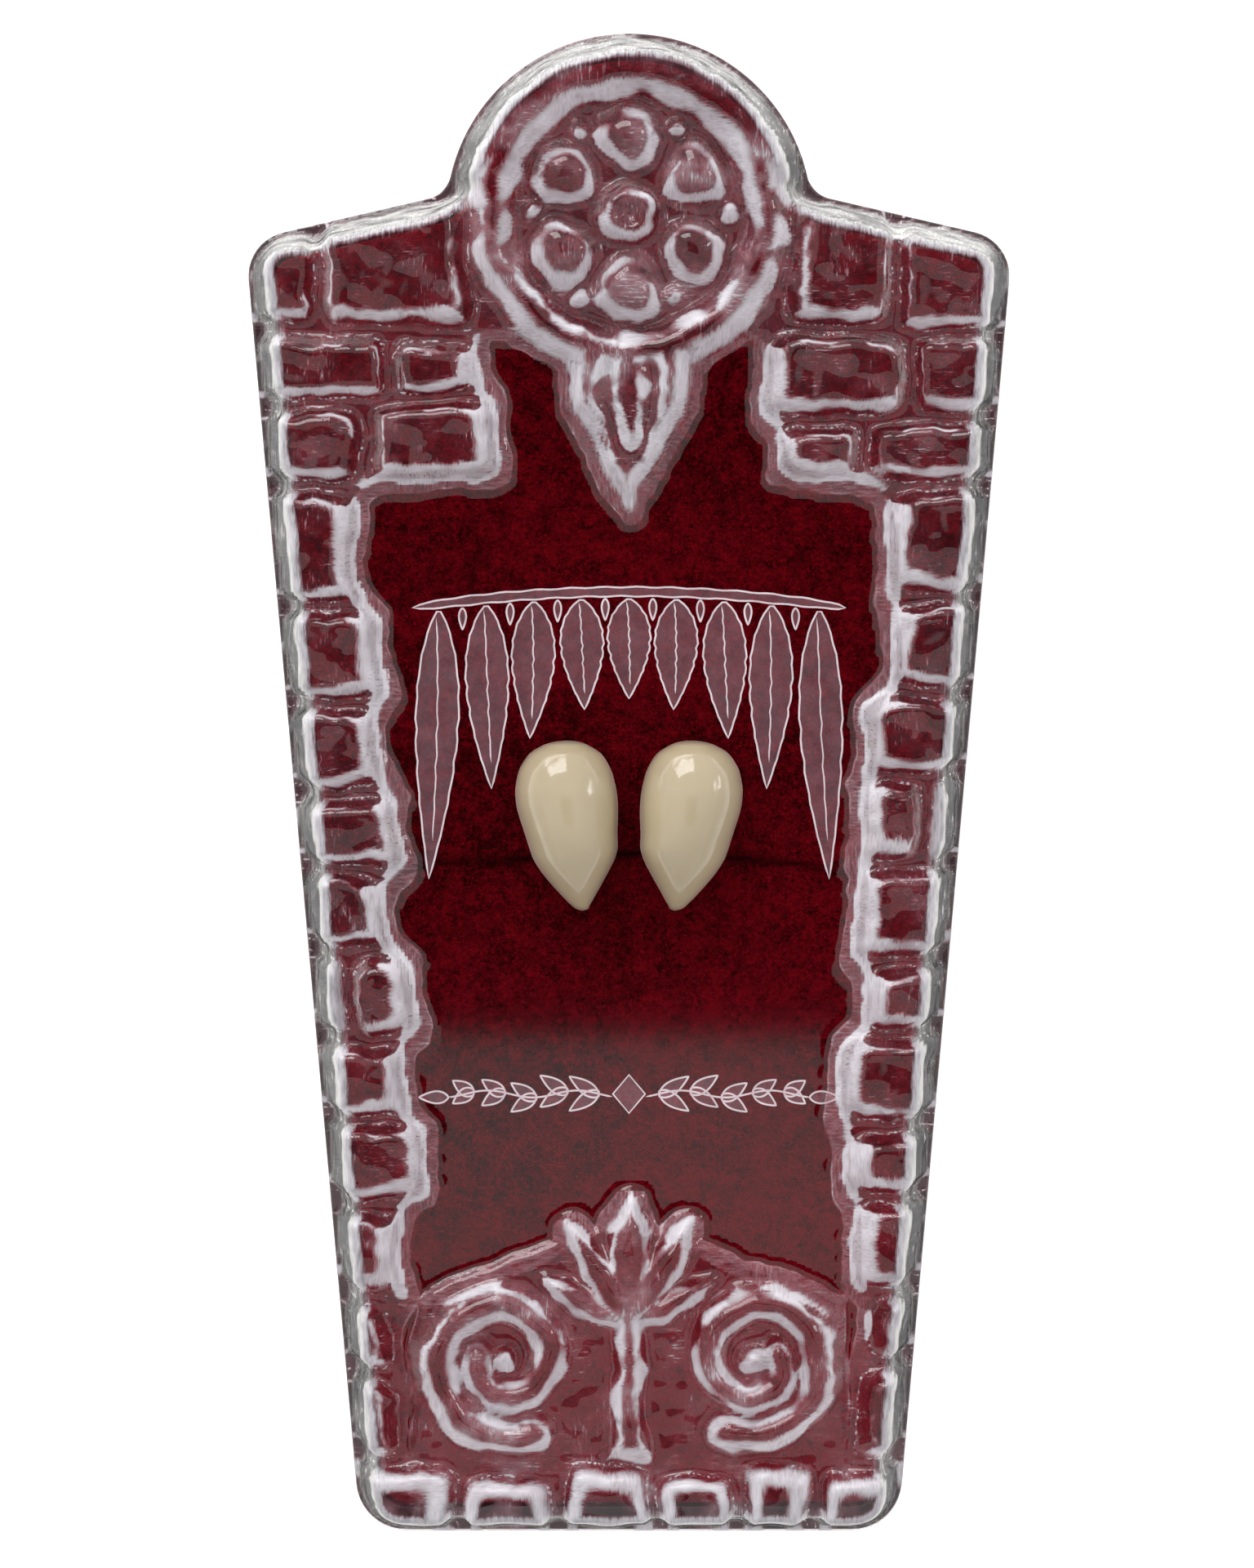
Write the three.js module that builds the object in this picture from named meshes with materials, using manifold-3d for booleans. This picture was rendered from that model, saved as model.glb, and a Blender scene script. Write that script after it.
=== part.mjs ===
// A pair of ivory vampire fang caps, lying on a velvet bed in a coffin-shaped display case.
// The case lies on its back: a black tray with a flange, the velvet bed in it, and over both a clear
// cover formed from thin sheet, with a border of raised stones, a rosette in its domed head and
// scrollwork at its foot. Each fang is a hollow cap that slips over a tooth.
// Millimetres. +X is to the right, +Y towards the domed head, +Z out of the case's front.
// The origin is the middle of the case's back.
import * as THREE from "three";
import Module from "manifold-3d";

const wasm = await Module();
wasm.setup();

// The case's outline at its flanges
const caseLength = 150;
const footHalfWidth = 27;
const shoulderHalfWidth = 38.4; // to where the side and the shoulder would meet, before the rounding
const shoulderDrop = 20.7; // from the top of the dome down to that corner
const shoulderSlope = THREE.MathUtils.degToRad(13);
const domeRadius = 18.3;
const domeFillet = 3;
const shoulderCornerRadius = 4.5;
const footCornerRadius = 5;

// The tray
const trayWall = 1;
const trayDepth = 9; // from the back to the underside of its flange
const flangeWidth = 2.4;
const trayDraft = 1.2; // how far its walls lean in, from the flange to the back
const backEdge = 0.8; // the bevel round the back

// The velvet bed
const bedProud = 0.7; // how far it stands above the tray's flange
const bedEdge = 0.6;
const fit = 0.3; // clearance between pieces that touch on the real case

// The clear cover
const sheet = 0.8; // wall of the formed sheet
const lip = 0.45; // how far its flange shows outside the stones
const windowRise = 11; // from its flange's top to the flat window
const mortarRise = 1; // from the window to the bed of the joints
const stoneRise = 3; // from the joints to the tops of the stones
const coverDraft = 1.6; // how far its side walls lean in below the joints
const notchDepth = 1.1; // how far the joints cut into the side walls
const topEdge = 0.9; // the bevel round its front

// The stone border
const borderWidth = 10.3;
const jointWidth = 1.5;
const stoneSlope = 1.4; // how far a stone's sides lean in
const stoneCorner = 1.1;
const mortarMargin = 1.3; // how far the joints' bed shows round the stones
const footCourse = 8.3; // height of the row of stones along the foot
const wideCourses = 24.3; // height of the wide courses under the shoulder

// The rosette in the domed head
const petalCount = 6;
const rosetteRim = 12.4; // inner radius of the rim's crest
const petalInner = 3.8;
const petalOuter = 10.8;
const petalWidth = 6.8;
const bossRadius = 3.2;
const petalSlope = 1.4;
const panelDrop = 10.9; // from the rosette's middle down to the lower edge of the panel behind it

// The keystone that hangs below the rosette
const keystoneDrop = 11.7; // from the rosette's middle down to its top
const keystoneLength = 18;
const keystoneWidth = 13;

// The scrollwork at the foot
const scrollRadius = 7.6;
const scrollTurns = 1.35;
const scrollRidge = 2.9;
const scrollRise = 18.5; // from the foot up to a scroll's eye
const scrollSpread = 12.4; // from the middle line to a scroll's eye
const palmetteRise = 22; // from the foot up to where the palmette's leaves meet
const leafLength = 13.5;
const leafWidth = 4.8;
const leafSlope = 1.2;
const stalkWidth = 4.4;

// The fangs
const fangLength = 17;
const fangWidth = 10.4;
const fangThickness = 7.4;
const fangGap = 1.95; // between the two, at their widest
const fangCrown = 4.35; // from the middle of the case up to the fangs' round ends
const fangWall = 1;
const socketLength = 10.5; // how deep a tooth goes in, along the fang
const fangLean = THREE.MathUtils.degToRad(0.5);

// What follows from the sizes above
const half = caseLength / 2;
const flangeTop = trayDepth + trayWall;
const coverFlange = flangeTop + fit;
const windowLevel = coverFlange + sheet + windowRise;
const mortarLevel = windowLevel + mortarRise;
const frontLevel = mortarLevel + stoneRise;
const bedTop = flangeTop + bedProud;
const domeCentre = new THREE.Vector2(0, half - domeRadius);
const scrollHeight = -half + scrollRise;
const below = 1; // how far a cutting or joined body runs past the face it meets

// Left and right courses, from the foot up. top is where the course ends, as a share of the run of the
// side; reach is how far its stones come in, as a share of the border's width; split is where a course of
// two stones is parted, or 0; tilt leans its upper joint, as a share of the border's width.
const leftCourses = [
  { top: 0.088, reach: 0.56, split: 0, tilt: 0.04 },
  { top: 0.167, reach: 0.6, split: 0, tilt: -0.05 },
  { top: 0.262, reach: 0.72, split: 0, tilt: 0.06 },
  { top: 0.352, reach: 1.06, split: 0, tilt: -0.04 },
  { top: 0.43, reach: 0.92, split: 0, tilt: 0.07 },
  { top: 0.522, reach: 1.06, split: 0.42, tilt: -0.03 },
  { top: 0.606, reach: 0.88, split: 0, tilt: -0.06 },
  { top: 0.684, reach: 1.08, split: 0, tilt: 0.05 },
  { top: 0.776, reach: 0.94, split: 0, tilt: 0.02 },
  { top: 0.876, reach: 1.05, split: 0, tilt: -0.07 },
  { top: 1, reach: 0.9, split: 0, tilt: 0 },
];
const rightCourses = [
  { top: 0.102, reach: 0.6, split: 0, tilt: -0.05 },
  { top: 0.174, reach: 0.54, split: 0, tilt: 0.05 },
  { top: 0.27, reach: 0.76, split: 0, tilt: -0.02 },
  { top: 0.344, reach: 0.9, split: 0, tilt: 0.06 },
  { top: 0.44, reach: 1.05, split: 0, tilt: 0.03 },
  { top: 0.513, reach: 0.86, split: 0, tilt: -0.06 },
  { top: 0.61, reach: 1.02, split: 0, tilt: 0.05 },
  { top: 0.7, reach: 1.04, split: 0.4, tilt: -0.04 },
  { top: 0.788, reach: 1.09, split: 0, tilt: 0.02 },
  { top: 0.884, reach: 0.9, split: 0, tilt: 0.06 },
  { top: 1, reach: 1.04, split: 0, tilt: 0 },
];

// The wide courses beside the rosette. top is a share of their run, up to the shoulder.
const leftShoulder = [
  { top: 0.32, reach: 2.34, split: 1.04, tilt: 0.05 },
  { top: 0.63, reach: 2.2, split: 1.34, tilt: -0.05 },
  { top: 1.2, reach: 2.24, split: 0.72, tilt: 0 },
];
const rightShoulder = [
  { top: 0.28, reach: 2.16, split: 1.3, tilt: -0.04 },
  { top: 0.6, reach: 2.36, split: 0.92, tilt: 0.05 },
  { top: 1.2, reach: 2.24, split: 1.14, tilt: 0 },
];

// The row along the foot. end is a share of the foot's width, rise a share of the row's height.
const footStones = [
  { end: 0.19, rise: 1 },
  { end: 0.37, rise: 0.86 },
  { end: 0.55, rise: 1.04 },
  { end: 0.7, rise: 0.9 },
  { end: 0.84, rise: 1.06 },
  { end: 1, rise: 0.95 },
];

// The leaves of the palmette. lean is in degrees, size a share of the middle leaf's.
const palmetteLeaves = [
  { lean: 0, size: 1 },
  { lean: 31, size: 0.92 },
  { lean: -31, size: 0.92 },
  { lean: 62, size: 0.75 },
  { lean: -62, size: 0.75 },
];

// A fang from its round end to its tip. at is a share of its length; outer and inner are where its edges
// lie from its middle line, as shares of half its width; depth is a share of its thickness.
const fangSections = [
  { at: 0, outer: 0.2, inner: 0.25, depth: 0.28 },
  { at: 0.02, outer: 0.46, inner: 0.5, depth: 0.47 },
  { at: 0.07, outer: 0.74, inner: 0.7, depth: 0.68 },
  { at: 0.17, outer: 0.93, inner: 0.86, depth: 0.86 },
  { at: 0.29, outer: 1, inner: 0.96, depth: 0.96 },
  { at: 0.39, outer: 0.97, inner: 0.99, depth: 0.99 },
  { at: 0.475, outer: 0.885, inner: 0.99, depth: 1 },
  { at: 0.55, outer: 0.8, inner: 0.975, depth: 0.99 },
  { at: 0.626, outer: 0.72, inner: 1, depth: 0.95 },
  { at: 0.7, outer: 0.64, inner: 0.93, depth: 0.88 },
  { at: 0.778, outer: 0.47, inner: 0.8, depth: 0.77 },
  { at: 0.85, outer: 0.27, inner: 0.67, depth: 0.63 },
  { at: 0.929, outer: 0.03, inner: 0.53, depth: 0.44 },
  { at: 0.975, outer: -0.13, inner: 0.45, depth: 0.31 },
  { at: 1, outer: -0.27, inner: 0.37, depth: 0.2 },
];

const v2 = (x, y) => new THREE.Vector2(x, y);
const lerp = THREE.MathUtils.lerp;

// Points on an arc, from one angle to another.
function arc(centre, radius, from, to, steps) {
  const points = [];
  for (let i = 0; i <= steps; i += 1) {
    const angle = lerp(from, to, i / steps);
    points.push(v2(centre.x + radius * Math.cos(angle), centre.y + radius * Math.sin(angle)));
  }
  return points;
}

// A corner rounded between two straight edges. back and ahead point away from it along them.
function roundedCorner(corner, back, ahead, radius, steps) {
  const halfAngle = Math.acos(back.dot(ahead)) / 2;
  const middle = back.clone().add(ahead).normalize();
  const centre = corner.clone().addScaledVector(middle, radius / Math.sin(halfAngle));
  const reach = radius / Math.tan(halfAngle);
  const first = corner.clone().addScaledVector(back, reach).sub(centre).angle();
  const last = corner.clone().addScaledVector(ahead, reach).sub(centre).angle();
  const turn = THREE.MathUtils.euclideanModulo(last - first + Math.PI, 2 * Math.PI) - Math.PI;
  return arc(centre, radius, first, first + turn, steps);
}

const footCorner = v2(footHalfWidth, -half);
const shoulderCorner = v2(shoulderHalfWidth, half - shoulderDrop);
const sideAlong = shoulderCorner.clone().sub(footCorner).normalize();
const sideOut = v2(sideAlong.y, -sideAlong.x);
const shoulderAlong = v2(-Math.cos(shoulderSlope), Math.sin(shoulderSlope));
const shoulderOut = v2(Math.sin(shoulderSlope), Math.cos(shoulderSlope));
const footOut = v2(0, -1);

// The centre of the hollow fillet between the shoulder and the dome.
function domeFilletCentre() {
  const start = shoulderCorner.clone().addScaledVector(shoulderOut, domeFillet).sub(domeCentre);
  const along = start.dot(shoulderAlong);
  const reach = domeRadius + domeFillet;
  const distance = -along - Math.sqrt(along * along - start.lengthSq() + reach * reach);
  return start.addScaledVector(shoulderAlong, distance).add(domeCentre);
}

// The case's outline, moved inwards by a distance, counter-clockwise from the foot.
function caseOutline(by) {
  const fillet = domeFilletCentre();
  const meets = fillet.clone().sub(domeCentre).angle();
  const filletStart = shoulderOut.clone().negate().angle() - 2 * Math.PI;
  const moved = (corner, one, other) =>
    corner.clone().addScaledVector(one.clone().add(other), -by / (1 + one.dot(other)));
  const rounding = (radius) => Math.max(radius - by, radius / 8);
  const foot = moved(footCorner, footOut, sideOut);
  const shoulder = moved(shoulderCorner, sideOut, shoulderOut);
  const right = [
    ...roundedCorner(foot, v2(-1, 0), sideAlong, rounding(footCornerRadius), 4),
    ...roundedCorner(shoulder, sideAlong.clone().negate(), shoulderAlong, rounding(shoulderCornerRadius), 4),
    ...arc(fillet, domeFillet + by, filletStart, meets - Math.PI, 3),
    ...arc(domeCentre, domeRadius - by, meets, Math.PI / 2, 10).slice(1),
  ];
  const left = right.slice(0, -1).reverse().map((p) => v2(-p.x, p.y));
  return [...right, ...left];
}

// A closed outline moved inwards (or outwards, if by is below 0).
function inset(points, by) {
  const count = points.length;
  return points.map((point, i) => {
    const before = point.clone().sub(points[(i + count - 1) % count]).normalize();
    const after = points[(i + 1) % count].clone().sub(point).normalize();
    const normal = v2(-before.y - after.y, before.x + after.x).normalize();
    const stretch = normal.dot(v2(-before.y, before.x));
    return point.clone().addScaledVector(normal, by / Math.max(stretch, 0.5));
  });
}

// A closed body through rings of as many points each, with flat ends. A ring is {points, z}.
function loft(rings) {
  const count = rings[0].points.length;
  const position = rings.flatMap(({ points, z }) => points.flatMap((p) => [p.x, p.y, z]));
  const index = [];
  for (let r = 0; r + 1 < rings.length; r += 1) {
    for (let i = 0; i < count; i += 1) {
      const a = r * count + i;
      const b = r * count + ((i + 1) % count);
      index.push(a, b, b + count, a, b + count, a + count);
    }
  }
  const last = (rings.length - 1) * count;
  for (const [a, b, c] of THREE.ShapeUtils.triangulateShape(rings[0].points, [])) {
    index.push(a, c, b);
  }
  for (const [a, b, c] of THREE.ShapeUtils.triangulateShape(rings.at(-1).points, [])) {
    index.push(last + a, last + b, last + c);
  }
  const geometry = new THREE.BufferGeometry();
  geometry.setAttribute("position", new THREE.Float32BufferAttribute(position, 3));
  geometry.setIndex(index);
  return geometry;
}

// A closed geometry as a solid that can be cut and joined.
function solid(geometry) {
  return new wasm.Manifold(
    new wasm.Mesh({
      numProp: 3,
      vertProperties: geometry.getAttribute("position").array,
      triVerts: new Uint32Array(geometry.getIndex().array),
    }),
  );
}

function joined(solids) {
  return solids.reduce((whole, next) => whole.add(next));
}

function geometryOf(manifold) {
  const mesh = manifold.getMesh();
  const geometry = new THREE.BufferGeometry();
  geometry.setAttribute("position", new THREE.Float32BufferAttribute(mesh.vertProperties, 3));
  geometry.setIndex(new THREE.Uint32BufferAttribute(mesh.triVerts, 1));
  const faceted = geometry.toNonIndexed();
  faceted.computeVertexNormals();
  return faceted;
}

// Half the case's width at a height, on its straight sides.
function sideAt(y) {
  return lerp(footCorner.x, shoulderCorner.x, (y - footCorner.y) / (shoulderCorner.y - footCorner.y));
}

// How high the case's shoulder stands at a distance from the middle line.
function shoulderAt(x) {
  return shoulderCorner.y + (shoulderCorner.x - Math.abs(x)) * Math.tan(shoulderSlope);
}

// A four-sided stone with its corners cut off, counter-clockwise, moved inwards by a distance.
function stoneOutline(corners, by) {
  const clockwise = THREE.ShapeUtils.area(corners) < 0;
  const ordered = clockwise ? [...corners].reverse() : corners;
  const longest = Math.max(...ordered.map((corner, i) => corner.distanceTo(ordered[(i + 1) % 4])));
  const room = THREE.ShapeUtils.area(ordered) / longest;
  const moved = inset(ordered, Math.min(jointWidth / 2 + by, room * 0.44));
  const shortest = Math.min(...moved.map((corner, i) => corner.distanceTo(moved[(i + 1) % 4])));
  const cutLength = Math.min(stoneCorner, shortest * 0.3);
  return moved.flatMap((corner, i) => {
    const before = moved[(i + 3) % 4];
    const after = moved[(i + 1) % 4];
    const cut = (towards) => corner.clone().lerp(towards, cutLength / corner.distanceTo(towards));
    return [cut(before), cut(after)];
  });
}

// The stones of one side's courses, between two heights. An outermost stone runs out past the case's
// outline, and one under the shoulder runs past the shoulder: the cover's outer form cuts both.
function courseStones(side, courses, start, end) {
  const stones = [];
  const overrun = 4 * topEdge;
  let lower = { at: 0, tilt: 0 };
  for (const course of courses) {
    const upper = { at: course.top, tilt: course.tilt };
    const parts = course.split ? [0, course.split, course.reach] : [0, course.reach];
    for (let i = 0; i + 1 < parts.length; i += 1) {
      const corner = (joint, share) => {
        const y = lerp(start, end, joint.at) + joint.tilt * borderWidth * (share - 0.5);
        const x = share ? sideAt(y) - share * borderWidth : sideAt(y) + overrun;
        return v2(side * x, y);
      };
      const corners = [
        corner(lower, parts[i]),
        corner(upper, parts[i]),
        corner(upper, parts[i + 1]),
        corner(lower, parts[i + 1]),
      ];
      stones.push((by) => stoneOutline(corners, by));
    }
    lower = upper;
  }
  return stones;
}

function footRow() {
  const overrun = 4 * topEdge;
  const left = -footHalfWidth - overrun;
  const right = footHalfWidth + overrun;
  const joint = (share) => {
    if (share === 0) return left;
    return share === 1 ? right : lerp(-footHalfWidth, footHalfWidth, share);
  };
  let from = 0;
  return footStones.map(({ end, rise }) => {
    const top = -half + footCourse * rise;
    const bottom = -half - overrun;
    const [a, b] = [joint(from), joint(end)];
    from = end;
    return (by) => stoneOutline([v2(a, bottom), v2(b, bottom), v2(b, top), v2(a, top)], by);
  });
}

function allStones() {
  const sideStart = -half + footCourse;
  const shoulder = shoulderCorner.y;
  const sideEnd = shoulder - wideCourses;
  return [
    ...courseStones(-1, leftCourses, sideStart, sideEnd),
    ...courseStones(1, rightCourses, sideStart, sideEnd),
    ...courseStones(-1, leftShoulder, sideEnd, shoulder),
    ...courseStones(1, rightShoulder, sideEnd, shoulder),
    ...footRow(),
  ];
}

// A raised form on the cover: its foot, its sloping sides and its flat top. outlineAt gives its outline,
// moved inwards by a distance. skin is 0 for the sheet's outside and the sheet's wall for its inside.
function raised(outlineAt, skin, { foot = windowLevel - 2 * sheet, slope = stoneSlope } = {}) {
  return solid(
    loft([
      { points: outlineAt(skin), z: foot },
      { points: outlineAt(skin), z: mortarLevel - skin },
      { points: outlineAt(skin + slope), z: frontLevel - skin },
    ]),
  );
}

// The joints' bed round a raised form, a little above the window.
function mortarPad(outlineAt, margin = mortarMargin) {
  return solid(
    loft([
      { points: outlineAt(-margin), z: windowLevel - sheet / 2 },
      { points: outlineAt(-margin + mortarRise / 3), z: mortarLevel },
    ]),
  );
}

// The form that bounds the cover's outside, or its inside with skin.
function coverEnvelope(skin) {
  return solid(
    loft([
      { points: caseOutline(lip + skin), z: coverFlange - skin },
      { points: caseOutline(lip + coverDraft + skin), z: mortarLevel },
      { points: caseOutline(lip + coverDraft + topEdge * 0.4 + skin), z: frontLevel - topEdge - skin },
      { points: caseOutline(lip + coverDraft + topEdge * 1.4 + skin), z: frontLevel - skin },
    ]),
  );
}

// The body behind the joints, up to the flat window.
function coverCore(skin) {
  const side = lip + notchDepth + skin;
  return solid(
    loft([
      { points: caseOutline(side), z: coverFlange - skin * 2 },
      { points: caseOutline(side + coverDraft), z: windowLevel - skin },
    ]),
  );
}

function circleOutline(centre, radius, sides) {
  return arc(centre, radius, 0, 2 * Math.PI * (1 - 1 / sides), sides - 1);
}

// An egg outline round the middle line of a petal that points away from the rosette's centre.
function petalOutline(index, by) {
  const turn = ((index + 0.5) / petalCount) * 2 * Math.PI;
  const middle = (petalInner + petalOuter) / 2;
  const reach = (petalOuter - petalInner) / 2 - by;
  const sides = 10;
  return Array.from({ length: sides }, (unused, i) => {
    const angle = (i / sides) * 2 * Math.PI;
    const along = middle + reach * Math.cos(angle);
    const across = (petalWidth / 2 - by) * Math.sin(angle) * (along / middle) ** 0.7;
    return v2(along, across).rotateAround(v2(0, 0), turn).add(domeCentre);
  });
}

// The panel behind the rosette's lower half, at the height of the joints' bed.
function headPanel(by) {
  const side = domeRadius - by;
  const top = domeCentre.y - domeFillet - by;
  const bottom = domeCentre.y - panelDrop + by;
  return [v2(-side, bottom), v2(side, bottom), v2(side, top), v2(-side, top)];
}

function rosette(skin) {
  const drumRadius = domeRadius - lip - coverDraft;
  const beyond = domeRadius + topEdge * 3;
  const rimSides = 32;
  const bossSides = 12;
  const dish = solid(
    loft([
      { points: circleOutline(domeCentre, rosetteRim - stoneSlope + skin, rimSides), z: mortarLevel - skin },
      { points: circleOutline(domeCentre, rosetteRim + skin, rimSides), z: frontLevel + below },
    ]),
  );
  const disc = solid(
    loft([
      { points: circleOutline(domeCentre, drumRadius - skin, rimSides), z: coverFlange - skin * 2 },
      { points: circleOutline(domeCentre, drumRadius - skin, rimSides), z: mortarLevel - skin },
      { points: circleOutline(domeCentre, drumRadius - stoneSlope - skin, rimSides), z: frontLevel - skin },
    ]),
  );
  // Towards the head the rim runs out to the cover's own edge.
  const headHalf = circleOutline(domeCentre, beyond, rimSides).filter((p) => p.y > domeCentre.y + skin);
  const head = solid(
    loft([
      { points: headHalf, z: coverFlange - skin * 2 },
      { points: headHalf, z: frontLevel - skin },
    ]),
  );
  const petals = Array.from({ length: petalCount }, (unused, i) =>
    raised((by) => petalOutline(i, by), skin, { slope: petalSlope }),
  );
  const boss = raised((by) => circleOutline(domeCentre, bossRadius - by, bossSides), skin, {
    slope: petalSlope,
  });
  return disc.add(head).subtract(dish).add(joined([...petals, boss]));
}

// The keystone's outline, a shield that points to the foot, moved inwards by a distance.
function keystoneOutline(by) {
  const reach = keystoneWidth / 2 - by;
  const top = domeCentre.y - keystoneDrop - by;
  const run = keystoneLength - 2.8 * by;
  const right = [v2(reach * 0.42, top - run * 0.72), v2(reach * 0.86, top - run * 0.42), v2(reach, top)];
  const left = right.map((p) => v2(-p.x, p.y)).reverse();
  return [v2(0, top - run), ...right, ...left];
}

// A leaf outline from its foot to its point, moved inwards by a distance.
function leafOutline(foot, lean, length, width, by) {
  const shares = [
    { along: 0, across: 0.3 },
    { along: 0.25, across: 0.86 },
    { along: 0.48, across: 1 },
    { along: 0.75, across: 0.62 },
  ];
  const start = by;
  const run = length - 3 * by;
  const reach = width / 2 - by;
  const right = shares.map(({ along, across }) => v2(across * reach, start + along * run));
  const left = right.map((p) => v2(-p.x, p.y)).reverse();
  return [...right, v2(0, start + run), ...left].map((p) => p.rotateAround(v2(0, 0), lean).add(foot));
}

// A ridge that winds in to the scroll's eye, narrowing on the way.
function scroll(side) {
  const steps = 30;
  const outerStart = -Math.PI * 0.62;
  const eye = v2(side * scrollSpread, scrollHeight);
  const position = [];
  const index = [];
  for (let i = 0; i <= steps; i += 1) {
    const share = i / steps;
    const angle = outerStart + share * scrollTurns * 2 * Math.PI;
    const radius = lerp(scrollRadius, scrollRidge * 0.9, share);
    const width = scrollRidge * lerp(1.15, 0.8, share);
    const crest = lerp(frontLevel, frontLevel - stoneRise * 0.2, share);
    const sections = [
      [radius - width / 2 - stoneSlope / 3, windowLevel - sheet / 2],
      [radius + width / 2 + stoneSlope / 3, windowLevel - sheet / 2],
      [radius + width / 4, crest],
      [radius - width / 4, crest],
    ];
    for (const [r, z] of sections) {
      position.push(eye.x + side * r * Math.cos(angle), eye.y + r * Math.sin(angle), z);
    }
  }
  const quad = (a, b, c, d) => {
    if (side > 0) index.push(a, b, c, a, c, d);
    else index.push(a, c, b, a, d, c);
  };
  for (let i = 0; i < steps; i += 1) {
    for (let k = 0; k < 4; k += 1) {
      const a = i * 4 + k;
      const b = i * 4 + ((k + 1) % 4);
      quad(a, a + 4, b + 4, b);
    }
  }
  quad(0, 1, 2, 3);
  quad(steps * 4 + 3, steps * 4 + 2, steps * 4 + 1, steps * 4);
  const geometry = new THREE.BufferGeometry();
  geometry.setAttribute("position", new THREE.Float32BufferAttribute(position, 3));
  geometry.setIndex(index);
  return solid(geometry);
}

// The panel behind the scrolls, at the height of the joints' bed.
function footPanel(by) {
  const top = scrollHeight + scrollRadius - by;
  const bottom = -half + footCourse + by;
  const side = scrollSpread + scrollRadius - by;
  const arch = [v2(side, top - 3), v2(side * 0.7, top), v2(0, top + 5), v2(-side * 0.7, top), v2(-side, top - 3)];
  return [v2(-side, bottom), v2(side, bottom), ...arch];
}

// The palmette's leaves, as outlines that can be moved inwards.
function leafOutlines() {
  const foot = v2(0, -half + palmetteRise);
  return palmetteLeaves.map(({ lean, size }) => {
    const turn = THREE.MathUtils.degToRad(lean);
    return (by) => leafOutline(foot, turn, leafLength * size, leafWidth * size, by);
  });
}

// The stalk that carries the palmette, from the foot's stones up between the scrolls.
function stalkOutline(by) {
  const bottom = -half + footCourse + jointWidth / 2 + by;
  const top = -half + palmetteRise + leafWidth / 2 - by;
  const wide = stalkWidth / 2 - by;
  const narrow = stalkWidth * 0.36 - by;
  return [v2(-wide, bottom), v2(wide, bottom), v2(narrow, top), v2(-narrow, top)];
}

function coverFlangePlate() {
  return solid(
    loft([
      { points: caseOutline(0), z: coverFlange },
      { points: caseOutline(0), z: coverFlange + sheet },
    ]),
  );
}

function caseCover() {
  const stones = allStones();
  const leaves = leafOutlines();
  const outside = joined([
    coverCore(0),
    ...stones.map((stone) => mortarPad(stone)),
    ...stones.map((stone) => raised(stone, 0, { foot: coverFlange })),
    mortarPad(headPanel),
    rosette(0),
    mortarPad(keystoneOutline),
    raised(keystoneOutline, 0),
    mortarPad(footPanel),
    scroll(-1),
    scroll(1),
    ...leaves.map((leaf) => mortarPad(leaf)),
    ...[stalkOutline, ...leaves].map((outline) => raised(outline, 0, { slope: leafSlope })),
  ]).intersect(coverEnvelope(0));
  const inside = joined([
    coverCore(sheet),
    ...stones.map((stone) => raised(stone, sheet, { foot: coverFlange - below })),
    rosette(sheet),
    raised(keystoneOutline, sheet),
    raised(leaves[0], sheet, { slope: leafSlope }),
  ]).intersect(coverEnvelope(sheet));
  return outside.add(coverFlangePlate()).subtract(inside);
}

function caseTray() {
  const side = flangeWidth;
  const flange = loft([
    { points: caseOutline(0), z: trayDepth },
    { points: caseOutline(0), z: flangeTop },
  ]);
  const dish = loft([
    { points: caseOutline(side + trayDraft - trayWall + backEdge), z: 0 },
    { points: caseOutline(side + trayDraft - trayWall), z: backEdge },
    { points: caseOutline(side - trayWall), z: trayDepth + trayWall / 2 },
  ]);
  const hollow = loft([
    { points: caseOutline(side + trayDraft), z: trayWall },
    { points: caseOutline(side), z: flangeTop + below },
  ]);
  return solid(flange).add(solid(dish)).subtract(solid(hollow));
}

// The velvet over its pad, a plain block that fills the tray.
function velvetBed() {
  const side = flangeWidth + fit;
  return solid(
    loft([
      { points: caseOutline(side + trayDraft), z: trayWall + fit },
      { points: caseOutline(side), z: bedTop - bedEdge },
      { points: caseOutline(side + bedEdge), z: bedTop },
    ]),
  );
}

// One section of a fang, across it: a flat back and a round front, from its outer edge to its inner edge.
function fangSection({ outer, inner, depth }, shrink) {
  const steps = 9;
  const left = (-outer * fangWidth) / 2 + shrink;
  const right = (inner * fangWidth) / 2 - shrink;
  const middle = (left + right) / 2;
  const reach = (right - left) / 2;
  const height = depth * fangThickness - shrink;
  const edge = Math.min(0.28 * height, fangWall);
  const front = [];
  for (let i = 0; i <= steps; i += 1) {
    const angle = Math.PI * (1 - i / steps);
    front.push(v2(middle + reach * Math.cos(angle), edge + (height - edge) * Math.sin(angle) ** 0.85));
  }
  return [v2(left + reach * 0.06, 0), v2(right - reach * 0.06, 0), ...front.reverse()];
}

// A fang's sections become rings along its length, with the round end up (+Y) and its front towards +Z.
function fangLoft(rows, shrink) {
  const rings = rows.map((row) => ({ points: fangSection(row, shrink), z: row.at * fangLength }));
  return loft(rings).rotateX(Math.PI / 2);
}

// A row of the fang's table at any share of its length.
function fangRow(at) {
  const after = Math.max(1, fangSections.findIndex((row) => row.at >= at));
  const [a, b] = [fangSections[after - 1], fangSections[after]];
  const share = (at - a.at) / (b.at - a.at);
  return {
    at,
    outer: lerp(a.outer, b.outer, share),
    inner: lerp(a.inner, b.inner, share),
    depth: lerp(a.depth, b.depth, share),
  };
}

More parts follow.
